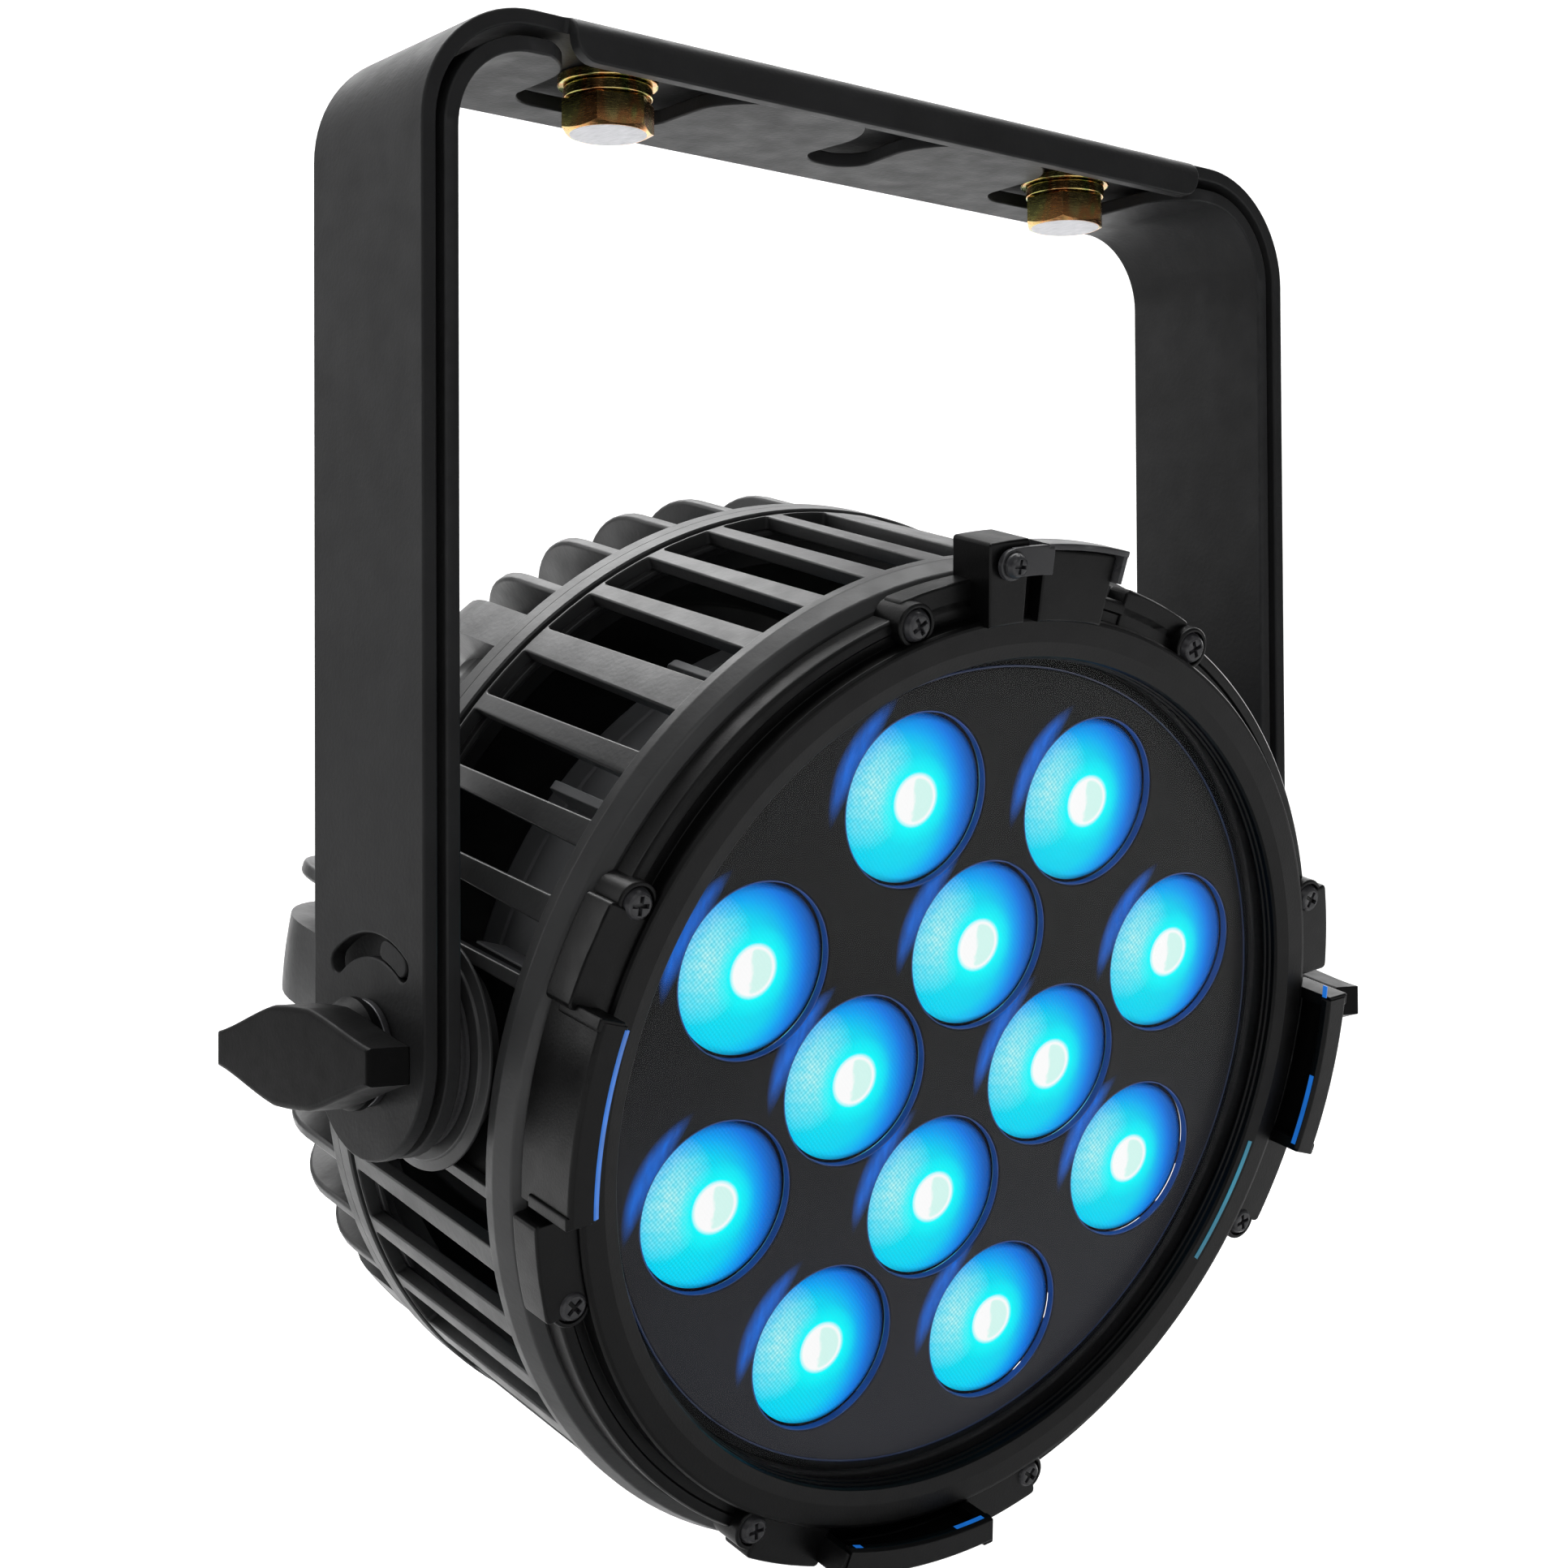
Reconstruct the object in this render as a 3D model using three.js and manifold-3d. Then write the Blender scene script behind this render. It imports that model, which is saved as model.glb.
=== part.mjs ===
// A par can light: twelve lenses in a round ventilated head, hung in a double U-shaped yoke.
// Millimetres, +Z up. The origin is on top of the outer yoke, midway between its arms, and the
// light shines towards -Y. The head hangs on a pivot axis along X, and its face looks a little down.
import * as THREE from "three";
import { mergeVertices } from "three/addons/utils/BufferGeometryUtils.js";
import Module from "manifold-3d";

const wasm = await Module();
wasm.setup();

const GAP = 0.3; // left between faces that touch
const ROUND = 48; // sides of the large round pieces
const SMALL_ROUND = 16;
const PAST = 10; // how far a cutting shape runs past what it cuts

// Yoke: two nested straps, bent from plate
const PIVOT_DROP = 221; // top of the yoke to the pivot axis
const YOKE_HALF_WIDTH = 134.4;
const STRAP_WIDTH = 46;
const PLATE = 3.5;
const STRAP_GAP = 2.2;
const BEND_RADIUS = 28;
const LIP_HALF_LENGTH = 98;
const LIP_HEIGHT = 9.8;
const LIP_CORNER = 7;
const STUD_RADIUS = 5;
const STUD_HOLE = 5.4;
const SLOT_RADIUS = 22.8; // arc slot that limits the inner strap's swing
const SLOT_HALF_WIDTH = 2.5;
const SLOT_ENDS = [-39.5, 34]; // degrees from straight up, the front end first
const STOP_ENDS = [-36.5, -18]; // the stop on the inner strap at rest
// Cut-outs in the inner strap's top bar, as half widths: at the middle, the neck and the front
const BOLT_MOUTH = { half: 20, neck: 20, flare: 29, rear: 11 };
const MIDDLE_MOUTH = { half: 9.2, neck: 8, flare: 14, rear: 9.5 };
const MOUTH_NECK_Y = -9;
const MOUTH_CORNER = 8;
const BOLT_X = 73;
const BOLT_Y = -2;
const BOLT_RADIUS = 6;
const BOLT_HOLE = 6.4;
const BOLT_TOP = 6; // how far the bolts stand out above the yoke
const BOLT_ACROSS_FLATS = 19;
const BOLT_HEAD_HEIGHT = 7.5;
const WASHER = { outer: 11.5, inner: 6.5, thick: 2.2 };
const SPRING_WASHER = { outer: 10.2, inner: 6.4, thick: 2.6, split: 1.2 };

// Clamping knobs, measured outwards from the outer face of an arm
const KNOB = { half: 32.5, tip: 3.8, middle: 10.5, shoulder: 11, near: 8.5, far: 18.5 };
const KNOB_HUB = { radius: 12, neck: 9, from: 2.4 };
const KNOB_COVER = 4; // solid front of the knob over the stud's end
const KNOB_WASHER = { outer: 11.5, thick: 1.7 };
const STUD_DEPTH = 12; // how far the stud reaches into the head's boss
const FRICTION_DISC = { radius: 21, face: -9.5 };

// Head, drawn as seen from the front: x to the right, v up, u forward from the pivot axis
const TILT = 15; // degrees that the face looks down
const BODY_RADIUS = 120;
const BODY_WALL = 3.5;
const BODY_BACK = -40;
const BAND_START = 26.5; // where the openings end and the smooth front band begins
const OPENING_BACK = -34;
const SEAT = 36; // front of the housing's flange, which the bezel and the glass sit on
const SEAT_RADIUS = 97;
const OPENING_DEGREES = 5.8;
const OPENING_PITCH = 8.45;
const WIDE_BAR_HALF = 5; // from the middle of a wide diagonal bar to the next opening's middle
const BOSS_RADIUS = 26;
const BOSS_REACH = 121.8;
const BOSS_SIDES = 28;
const PANEL_DEGREES = [79.8, 100.2];
const PANEL_DEPTH = 5;

const GLASS = { radius: 104, back: 39, front: 42 };
const BEZEL_INNER = 99;
const BEZEL_STEP = 109.5;
const BEZEL_OUTER = 118.6;
const BEZEL_FRONT = 47;
const BEZEL_LEDGE = 42.5;
const BEZEL_CHAMFER = 2.4;
const SCREW_CIRCLE = 113;
const SCREW_BOSS = 5;
const SCREW_SEAT = 43.8;
const SCREW = { head: 3.6, shank: 2, hole: 2.4, height: 2.4 };
const SCREW_ANGLES = [0, 1, 2, 3, 4, 5, 6, 7].map((k) => 22.5 + 45 * k);
const LUG_OUTER = 120;
const LUG_FRONT = 41;
const HOLDER = { inner: 110.5, wall: 114.8, outer: 118.6, hook: 52.3, front: 55, half: 11.5 };
const LATCH_BLOCK = { from: -12.8, to: -7.4, outer: 127.5, front: 49 };
const LATCH_WALL = { from: -5.3, to: 6, outer: 123, front: 49 };
const LATCH_SCREW = { angle: -10.4, radius: 122.3, head: 2.8, shank: 1.6, hole: 1.9, height: 2 };
const LATCH = { back: 49.3, thick: 1.5, low: 43.5, inner: 123.8, outer: 125.2, eye: 3.4 };
const LATCH_STRIP = [-5.8, 6.3]; // degrees, clear of the block when the latch swings over it

const SCREW_SLOT = 0.9;

const LENS_RADIUS = 19.9;
const LENS_BASE_RADIUS = 6.5;
const LENS_EDGE = 5;
const LENS_DOME = 0.8;
const LENS_HOLE = 20.4;
const LENS_FRONT = 38.4;
const LENS_BACK = 17;
const LENS_RING_INNER = 30.8;
const LENS_RING_OUTER = 70.4;
const PLATE_BACK = 36.4;
const PLATE_FRONT = 38.6;
const BOARD = { radius: 92, back: 13.4, front: 15, emitter: 7 };
const SINK = { radius: 104, back: 8, front: 13, ribs: 16, ribDepth: 25.4 };
const CAN = { outer: 92, inner: 89, back: -30, front: 7.6, wall: 3 };
const DRIVER = { width: 120, height: 76, thick: 1.6, at: -20 };

const FIN_THICKNESS = 3.6;
const FIN_RADIUS = 119;
const FIN_BACK = -88;
const FIN_CURVE = 27; // rounding of a fin's rear outer corner
const WIDE_PAD_HALF = 2.6; // degrees
const PIVOT_PAD_HALF = 7.5;
const PIVOT_FIN = 12; // degrees from the pivots to the fins beside their pads
const COVER_VALLEY = 110;
const COVER_WALL = 4;
const VALLEY_BACK = -62;
const REAR_FLAT = -84;
const REAR_FLAT_RADIUS = 63;
const PANEL = { width: 84, height: 36, v: 26, thick: 3 };
const CONNECTOR_ROW = [-42, -14, 14, 42];
const CONNECTOR_V = -17;
const FLANGE = { radius: 12.4, thick: 3 };
const SOCKET_FLOOR = 6;
const POWER = { barrel: 11, socket: 8.5, length: 20 };
const DATA = { barrel: 9, socket: 7, length: 16 };
const VENT_V = -46;
const LOOP_V = 54;
const BUTTON_SIDES = 10;
const BUTTONS = [["menu", -30], ["down", -10], ["up", 10], ["enter", 30]];
const BUTTON_V = -10; // from the middle of the panel
const BUTTON = { radius: 4.2, hole: 4.5, back: 1.6, shoulder: 4.6, front: 5.4 };
const DISPLAY = { width: 52, height: 15, v: 7, thick: 1.2 };

const rad = (degrees) => (degrees * Math.PI) / 180;
// A point of the head's face at a radius, degrees clockwise from the top as seen from the front.
const polar = (radius, degrees) => [
  radius * Math.sin(rad(degrees)),
  radius * Math.cos(rad(degrees)),
];

// ---- solids ----

function solid(geometry) {
  const bare = new THREE.BufferGeometry();
  bare.setAttribute("position", geometry.getAttribute("position").clone());
  if (geometry.index) bare.setIndex(geometry.index.clone());
  const merged = mergeVertices(bare, 1e-4);
  return new wasm.Manifold(
    new wasm.Mesh({
      numProp: 3,
      vertProperties: new Float32Array(merged.attributes.position.array),
      triVerts: new Uint32Array(merged.index.array),
    }),
  );
}

function geometryOf(body) {
  const mesh = body.getMesh();
  const geometry = new THREE.BufferGeometry();
  geometry.setAttribute("position", new THREE.BufferAttribute(mesh.vertProperties, 3));
  geometry.setIndex(new THREE.BufferAttribute(mesh.triVerts, 1));
  geometry.computeVertexNormals();
  return geometry;
}

const join = (geometries) => geometries.map(solid).reduce((a, b) => a.add(b));
const cut = (base, tools) => tools.map(solid).reduce((a, b) => a.subtract(b), solid(base));

// ---- shapes ----

// An outline from points, some of them arcs: [x, y] or [x, y, controlX, controlY].
function outline(points) {
  const shape = new THREE.Shape();
  points.forEach(([x, y, cx, cy], i) => {
    if (i === 0) shape.moveTo(x, y);
    else if (cx === undefined) shape.lineTo(x, y);
    else shape.quadraticCurveTo(cx, cy, x, y);
  });
  return shape;
}

const extrude = (shape, depth, curveSegments = 6) =>
  new THREE.ExtrudeGeometry(shape, { depth, curveSegments, bevelEnabled: false });

// A shape drawn in Y and Z and extruded along +X, or drawn in X and Z and extruded along -Y.
const ALONG_X = new THREE.Matrix4().makeBasis(
  new THREE.Vector3(0, 1, 0),
  new THREE.Vector3(0, 0, 1),
  new THREE.Vector3(1, 0, 0),
);
const ALONG_BACK_Y = new THREE.Matrix4().makeBasis(
  new THREE.Vector3(1, 0, 0),
  new THREE.Vector3(0, 0, 1),
  new THREE.Vector3(0, -1, 0),
);

// A turned piece about Z. The profile's [radius, height] points run anticlockwise.
function turned(profile, segments) {
  const points = profile.map(([r, h]) => new THREE.Vector2(r, h));
  return new THREE.LatheGeometry([...points, points[0]], segments).rotateX(Math.PI / 2);
}

function rod(radius, from, to, segments = 12) {
  return new THREE.CylinderGeometry(radius, radius, to - from, segments)
    .rotateX(Math.PI / 2)
    .translate(0, 0, (from + to) / 2);
}

function ring(outer, inner, from, to, segments = 16) {
  return turned([[inner, from], [outer, from], [outer, to], [inner, to]], segments);
}

// Part of a ring about Z between two angles, clockwise from the top.
function sector(inner, outer, fromDegrees, toDegrees, from, to, curveSegments = 4) {
  const start = rad(90 - toDegrees);
  const end = rad(90 - fromDegrees);
  const shape = new THREE.Shape();
  shape.absarc(0, 0, outer, start, end, false);
  shape.absarc(0, 0, inner, end, start, true);
  shape.closePath();
  return extrude(shape, to - from, curveSegments).translate(0, 0, from);
}

function box(width, height, depth, x, y, z) {
  return new THREE.BoxGeometry(width, height, depth).translate(x, y, z);
}

// ---- materials ----

const paint = (color, roughness, metalness) =>
  new THREE.MeshStandardMaterial({ color, roughness, metalness });
const BLACK_COAT = paint(0x1c1d1f, 0.5, 0.3);
const BLACK_PLASTIC = paint(0x17181a, 0.45, 0);
const RUBBER = paint(0x0d0d0e, 0.8, 0);
const ZINC = paint(0xb59a54, 0.3, 1);
const STEEL = paint(0x8c8f94, 0.35, 1);
const DARK_STEEL = paint(0x2b2c2f, 0.4, 1);
const ALUMINIUM = paint(0x6d7075, 0.5, 0.9);
const GLASS_CLEAR = paint(0x9fb4bd, 0.05, 0);
const LENS_LIT = paint(0x2fb8ff, 0.2, 0);
const BOARD_WHITE = paint(0xd8dcdd, 0.5, 0);
const BOARD_GREEN = paint(0x1f5a38, 0.6, 0);
const SCREEN = paint(0x0a1418, 0.15, 0);

// ---- groups ----

const light = new THREE.Group();
const head = new THREE.Group();
head.position.set(0, 0, -PIVOT_DROP);
head.rotation.x = rad(90 + TILT);
light.add(head);

function place(parent, name, geometry, material) {
  const mesh = new THREE.Mesh(geometry, material);
  mesh.name = name;
  parent.add(mesh);
  return mesh;
}

// ---- yoke ----

// A U-shaped strap with round ends to its arms, before its holes.
function strap(halfWidth, top, bend, width) {
  const inner = halfWidth - PLATE;
  const innerBend = bend - PLATE;
  const bottom = -PIVOT_DROP - width / 2;
  const shape = new THREE.Shape();
  shape.moveTo(-halfWidth, bottom);
  shape.lineTo(-inner, bottom);
  shape.lineTo(-inner, top - bend);
  shape.absarc(-inner + innerBend, top - bend, innerBend, Math.PI, Math.PI / 2, true);
  shape.lineTo(inner - innerBend, top - PLATE);
  shape.absarc(inner - innerBend, top - bend, innerBend, Math.PI / 2, 0, true);
  shape.lineTo(inner, bottom);
  shape.lineTo(halfWidth, bottom);
  shape.lineTo(halfWidth, top - bend);
  shape.absarc(halfWidth - bend, top - bend, bend, 0, Math.PI / 2, false);
  shape.lineTo(-halfWidth + bend, top);
  shape.absarc(-halfWidth + bend, top - bend, bend, Math.PI / 2, Math.PI, false);
  const band = extrude(shape, width, 6).applyMatrix4(ALONG_BACK_Y).translate(0, width / 2, 0);

  const side = new THREE.Shape();
  side.moveTo(width, PAST);
  side.lineTo(-width, PAST);
  side.lineTo(-width, -PIVOT_DROP);
  side.lineTo(-width / 2, -PIVOT_DROP);
  side.absarc(0, -PIVOT_DROP, width / 2, Math.PI, 2 * Math.PI, false);
  side.lineTo(width, -PIVOT_DROP);
  const sides = extrude(side, 2 * (halfWidth + PAST), 8)
    .applyMatrix4(ALONG_X)
    .translate(-halfWidth - PAST, 0, 0);
  return solid(band).intersect(solid(sides));
}

// A hole or slot through both arms, drawn in Y and Z about the pivot axis.
function throughArms(shape, curveSegments) {
  return extrude(shape, 2 * (YOKE_HALF_WIDTH + PAST), curveSegments)
    .applyMatrix4(ALONG_X)
    .translate(-YOKE_HALF_WIDTH - PAST, 0, -PIVOT_DROP);
}

// An arc-shaped slot about the pivot, with round ends. Degrees are positive towards the rear.
function arcSlot(halfWidth, [from, to]) {
  const start = rad(90 - to);
  const end = rad(90 - from);
  const shape = new THREE.Shape();
  shape.absarc(0, 0, SLOT_RADIUS + halfWidth, start, end, false);
  const [ex, ey] = [SLOT_RADIUS * Math.cos(end), SLOT_RADIUS * Math.sin(end)];
  shape.absarc(ex, ey, halfWidth, end, end + Math.PI, false);
  shape.absarc(0, 0, SLOT_RADIUS - halfWidth, end, start, true);
  const [sx, sy] = [SLOT_RADIUS * Math.cos(start), SLOT_RADIUS * Math.sin(start)];
  shape.absarc(sx, sy, halfWidth, start + Math.PI, start + 2 * Math.PI, false);
  return shape;
}

function circle(radius) {
  const shape = new THREE.Shape();
  shape.absarc(0, 0, radius, 0, 2 * Math.PI, false);
  return shape;
}

function outerYoke() {
  const lip = outline([
    [-LIP_HALF_LENGTH, 0],
    [-LIP_HALF_LENGTH, -LIP_HEIGHT + LIP_CORNER],
    [-LIP_HALF_LENGTH + LIP_CORNER, -LIP_HEIGHT, -LIP_HALF_LENGTH, -LIP_HEIGHT],
    [LIP_HALF_LENGTH - LIP_CORNER, -LIP_HEIGHT],
    [LIP_HALF_LENGTH, -LIP_HEIGHT + LIP_CORNER, LIP_HALF_LENGTH, -LIP_HEIGHT],
    [LIP_HALF_LENGTH, 0],
  ]);
  const lipBody = extrude(lip, PLATE)
    .applyMatrix4(ALONG_BACK_Y)
    .translate(0, -STRAP_WIDTH / 2, 0);
  let body = strap(YOKE_HALF_WIDTH, 0, BEND_RADIUS, STRAP_WIDTH)
    .add(solid(lipBody))
    .subtract(solid(throughArms(circle(STUD_HOLE), 8)))
    .subtract(solid(throughArms(arcSlot(SLOT_HALF_WIDTH, SLOT_ENDS), 5)));
  for (const x of [-BOLT_X, BOLT_X])
    body = body.subtract(solid(rod(BOLT_HOLE, -PAST, PAST).translate(x, BOLT_Y, 0)));
  return geometryOf(body);
}

// A cut-out in the inner strap's top bar, open to the front with a flared mouth.
function mouth(x, { half, neck, flare, rear }) {
  const front = -STRAP_WIDTH / 2 - 2;
  const bend = MOUTH_NECK_Y - 8;
  const shape = outline([
    [x - flare, front],
    [x - neck, MOUTH_NECK_Y, x - neck, bend],
    [x - half, 0],
    [x - half + MOUTH_CORNER, rear, x - half, rear],
    [x + half - MOUTH_CORNER, rear],
    [x + half, 0, x + half, rear],
    [x + neck, MOUTH_NECK_Y],
    [x + flare, front, x + neck, bend],
  ]);
  return extrude(shape, 2 * PAST, 4).translate(0, 0, -2 * PAST);
}

function innerYoke() {
  const inset = PLATE + STRAP_GAP;
  const halfWidth = YOKE_HALF_WIDTH - inset;
  let body = strap(halfWidth, -inset, BEND_RADIUS - inset, STRAP_WIDTH - 2 * GAP)
    .subtract(solid(throughArms(circle(STUD_HOLE), 8)))
    .subtract(solid(mouth(-BOLT_X, BOLT_MOUTH)))
    .subtract(solid(mouth(0, MIDDLE_MOUTH)))
    .subtract(solid(mouth(BOLT_X, BOLT_MOUTH)));
  const root = 0.5; // the stops begin inside the strap
  const reach = STRAP_GAP + PLATE + root;
  for (const x of [-halfWidth - reach + root, halfWidth - root]) {
    const stop = extrude(arcSlot(SLOT_HALF_WIDTH - GAP, STOP_ENDS), reach, 3);
    body = body.add(solid(stop.applyMatrix4(ALONG_X).translate(x, 0, -PIVOT_DROP)));
  }
  return geometryOf(body);
}

function hangingBolt() {
  const headTop = -PLATE - GAP - WASHER.thick - GAP - SPRING_WASHER.thick - GAP;
  const corner = BOLT_ACROSS_FLATS / 2 / Math.cos(Math.PI / 6);
  const hexagon = rod(corner, headTop - BOLT_HEAD_HEIGHT, headTop, 6);
  return geometryOf(join([rod(BOLT_RADIUS, headTop - 1, BOLT_TOP), hexagon]));
}

function springWasher() {
  const top = -PLATE - GAP - WASHER.thick - GAP;
  const middle = (SPRING_WASHER.outer + SPRING_WASHER.inner) / 2;
  const split = box(SPRING_WASHER.split, 6, PAST, 0, middle, top);
  const body = ring(SPRING_WASHER.outer, SPRING_WASHER.inner, top - SPRING_WASHER.thick, top);
  return geometryOf(cut(body, [split]));
}

function addYoke() {
  place(light, "outer_yoke", outerYoke(), BLACK_COAT);
  place(light, "inner_yoke", innerYoke(), BLACK_COAT);
  const washerTop = -PLATE - GAP;
  for (const [side, x] of [["left", -BOLT_X], ["right", BOLT_X]]) {
    const washer = ring(WASHER.outer, WASHER.inner, washerTop - WASHER.thick, washerTop);
    place(light, "hanging_bolt_" + side, hangingBolt().translate(x, BOLT_Y, 0), ZINC);
    place(light, "bolt_washer_" + side, washer.translate(x, BOLT_Y, 0), ZINC);
    place(light, "bolt_spring_washer_" + side, springWasher().translate(x, BOLT_Y, 0), ZINC);
  }
}

// ---- clamping knobs, drawn along +X from the outer face of an arm ----

function knob() {
  const wing = outline([
    [-KNOB.half, -KNOB.tip],
    [-KNOB.shoulder, -KNOB.middle],
    [KNOB.shoulder, -KNOB.middle],
    [KNOB.half, -KNOB.tip],
    [KNOB.half, KNOB.tip],
    [KNOB.shoulder, KNOB.middle],
    [-KNOB.shoulder, KNOB.middle],
    [-KNOB.half, KNOB.tip],
  ]);
  const wings = extrude(wing, KNOB.far - KNOB.near).translate(0, 0, KNOB.near);
  const { radius, neck, from } = KNOB_HUB;
  const to = KNOB.near + 1;
  const hub = turned([[0, from], [radius, from], [neck, to], [0, to]], 24);
  const bore = rod(STUD_RADIUS + GAP, 0, KNOB.far - KNOB_COVER);
  return join([wings, hub]).subtract(solid(bore));
}

function addKnobs() {
  const boss = BOSS_REACH - YOKE_HALF_WIDTH;
  const studEnd = KNOB.far - KNOB_COVER - GAP;
  for (const [side, sign] of [["left", -1], ["right", 1]]) {
    const group = new THREE.Group();
    group.position.set(sign * YOKE_HALF_WIDTH, 0, -PIVOT_DROP);
    group.rotation.set(0, sign * (Math.PI / 2), 0);
    light.add(group);
    const turn = new THREE.Group();
    turn.rotation.z = Math.PI / 2;
    group.add(turn);
    place(turn, "knob_" + side, geometryOf(knob()), BLACK_PLASTIC);
    place(turn, "knob_stud_" + side, rod(STUD_RADIUS, boss - STUD_DEPTH, studEnd), STEEL);
    const washer = ring(KNOB_WASHER.outer, STUD_HOLE, GAP, GAP + KNOB_WASHER.thick);
    place(turn, "knob_washer_" + side, washer, STEEL);
    const { radius, face } = FRICTION_DISC;
    const disc = ring(radius, STUD_HOLE, boss + GAP, face, BOSS_SIDES);
    place(turn, "friction_disc_" + side, disc, RUBBER);
  }
}

// ---- head housing ----

// Middles of the openings, mirrored about the wide diagonal bars: five towards the top or the
// bottom and four towards the pivots.
function openingAngles() {
  const angles = [];
  for (const diagonal of [45, 135, 225, 315]) {
    const towardsPivot = diagonal % 180 === 45 ? 1 : -1;
    for (let k = 0; k < 5; k++) {
      const offset = WIDE_BAR_HALF + OPENING_PITCH * k;
      angles.push(diagonal - towardsPivot * offset);
      if (k < 4) angles.push(diagonal + towardsPivot * offset);
    }
  }
  return angles;
}

// The narrow bars' middles, where the rear cover's thin fins stand.
function finAngles() {
  const angles = [0, 180];
  for (const side of [90, 270]) angles.push(side - PIVOT_FIN, side + PIVOT_FIN);
  for (const diagonal of [45, 135, 225, 315]) {
    const towardsPivot = diagonal % 180 === 45 ? 1 : -1;
    for (let k = 0; k < 4; k++) {
      const offset = WIDE_BAR_HALF + OPENING_PITCH * (k + 0.5);
      angles.push(diagonal - towardsPivot * offset);
      if (k < 3) angles.push(diagonal + towardsPivot * offset);
    }
  }
  return angles;
}

// The rear cover's wide pads, as a middle and half an angle: behind the diagonal bars and the pivots.
function padAngles() {
  const pads = [45, 135, 225, 315].map((diagonal) => [diagonal, WIDE_PAD_HALF]);
  for (const side of [90, 270]) pads.push([side, PIVOT_PAD_HALF]);
  return pads;
}

function mainHousing() {
  const inner = BODY_RADIUS - BODY_WALL;
  const shell = turned(
    [
      [inner, BODY_BACK],
      [BODY_RADIUS, BODY_BACK],
      [BODY_RADIUS, SEAT - 1],
      [BODY_RADIUS - 1, SEAT],
      [SEAT_RADIUS, SEAT],
      [SEAT_RADIUS, SEAT - 3],
      [inner, SEAT - 3],
    ],
    ROUND,
  );
  let body = solid(shell);
  for (const angle of openingAngles()) {
    const half = OPENING_DEGREES / 2;
    const [from, to] = [angle - half, angle + half];
    const hole = sector(inner - PAST, BODY_RADIUS + PAST, from, to, OPENING_BACK, BAND_START, 1);
    body = body.subtract(solid(hole));
  }
  for (const side of [1, -1]) {
    const flat = BODY_RADIUS - PANEL_DEPTH;
    const [from, to] = PANEL_DEGREES;
    const height = 2 * BODY_RADIUS * Math.sin(rad((to - from) / 2));
    const depth = BAND_START - OPENING_BACK;
    const middle = (BAND_START + OPENING_BACK) / 2;
    const pocket = box(2 * PAST, height, depth, side * (flat + PAST), 0, middle);
    const backing = box(6, height, depth, side * (flat - 3), 0, middle);
    const boss = rod(BOSS_RADIUS, flat - 4, BOSS_REACH, BOSS_SIDES).rotateY(side * (Math.PI / 2));
    const bore = rod(STUD_RADIUS + GAP, 90, BODY_RADIUS + PAST).rotateY(side * (Math.PI / 2));
    body = body.subtract(solid(pocket)).add(solid(backing)).add(solid(boss));
    body = body.subtract(solid(bore));
  }
  return geometryOf(body);
}

function frontBezel() {
  const rim = turned(
    [
      [BEZEL_INNER, GLASS.front + GAP],
      [GLASS.radius + GAP, GLASS.front + GAP],
      [GLASS.radius + GAP, SEAT + GAP],
      [BEZEL_OUTER, SEAT + GAP],
      [BEZEL_OUTER, BEZEL_LEDGE],
      [BEZEL_STEP, BEZEL_LEDGE],
      [BEZEL_STEP, BEZEL_FRONT],
      [BEZEL_INNER + BEZEL_CHAMFER, BEZEL_FRONT],
      [BEZEL_INNER, BEZEL_FRONT - BEZEL_CHAMFER],
    ],
    ROUND,
  );
  const root = BEZEL_STEP - 1; // where what stands round the rim begins
  const back = SEAT + GAP;
  let body = solid(rim);
  const add = (geometry) => {
    body = body.add(solid(geometry));
  };
  for (const angle of SCREW_ANGLES) {
    const [x, v] = polar(SCREW_CIRCLE, angle);
    add(rod(SCREW_BOSS, back, SCREW_SEAT, 12).translate(x, v, 0));
  }
  for (const angle of [0, 90, 180, 270]) {
    for (const [from, to] of [[-22.5, -HOLDER.half], [HOLDER.half, 22.5]])
      add(sector(root, LUG_OUTER, angle + from, angle + to, back, LUG_FRONT, 3));
    const [from, to] = [angle - HOLDER.half, angle + HOLDER.half];
    add(sector(root, HOLDER.outer, from, to, back, BEZEL_LEDGE));
    if (angle === 0) continue;
    add(sector(HOLDER.wall, HOLDER.outer, from, to, BEZEL_LEDGE - 1, HOLDER.front));
    add(sector(HOLDER.inner, HOLDER.outer, from, to, HOLDER.hook, HOLDER.front));
  }
  // The top holder is a block for the latch's screw, and a front wall that stands clear of it.
  const [block, wall] = [LATCH_BLOCK, LATCH_WALL];
  add(sector(root, block.outer, block.from, block.to, back, block.front, 3));
  add(sector(root, wall.outer, wall.from, wall.to, back, wall.front, 4));
  for (const angle of SCREW_ANGLES) {
    const [x, v] = polar(SCREW_CIRCLE, angle);
    body = body.subtract(solid(rod(SCREW.hole, SEAT - 2, 60, 8).translate(x, v, 0)));
  }
  const [x, v] = polar(LATCH_SCREW.radius, LATCH_SCREW.angle);
  body = body.subtract(solid(rod(LATCH_SCREW.hole, 40, 60, 8).translate(x, v, 0)));
  return geometryOf(body);
}

// A pan-head screw along the head's axis: its shank ends and its head begins and ends at u.
function panScrew(radius, shank, from, seat, height) {
  const profile = [
    [0, from],
    [shank, from],
    [shank, seat],
    [radius, seat],
    [radius * 0.8, seat + height],
    [0, seat + height],
  ];
  const slots = [
    box(radius * 1.1, SCREW_SLOT, 2, 0, 0, seat + height),
    box(SCREW_SLOT, radius * 1.1, 2, 0, 0, seat + height),
  ];
  return geometryOf(cut(turned(profile, 8), slots));
}

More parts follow.
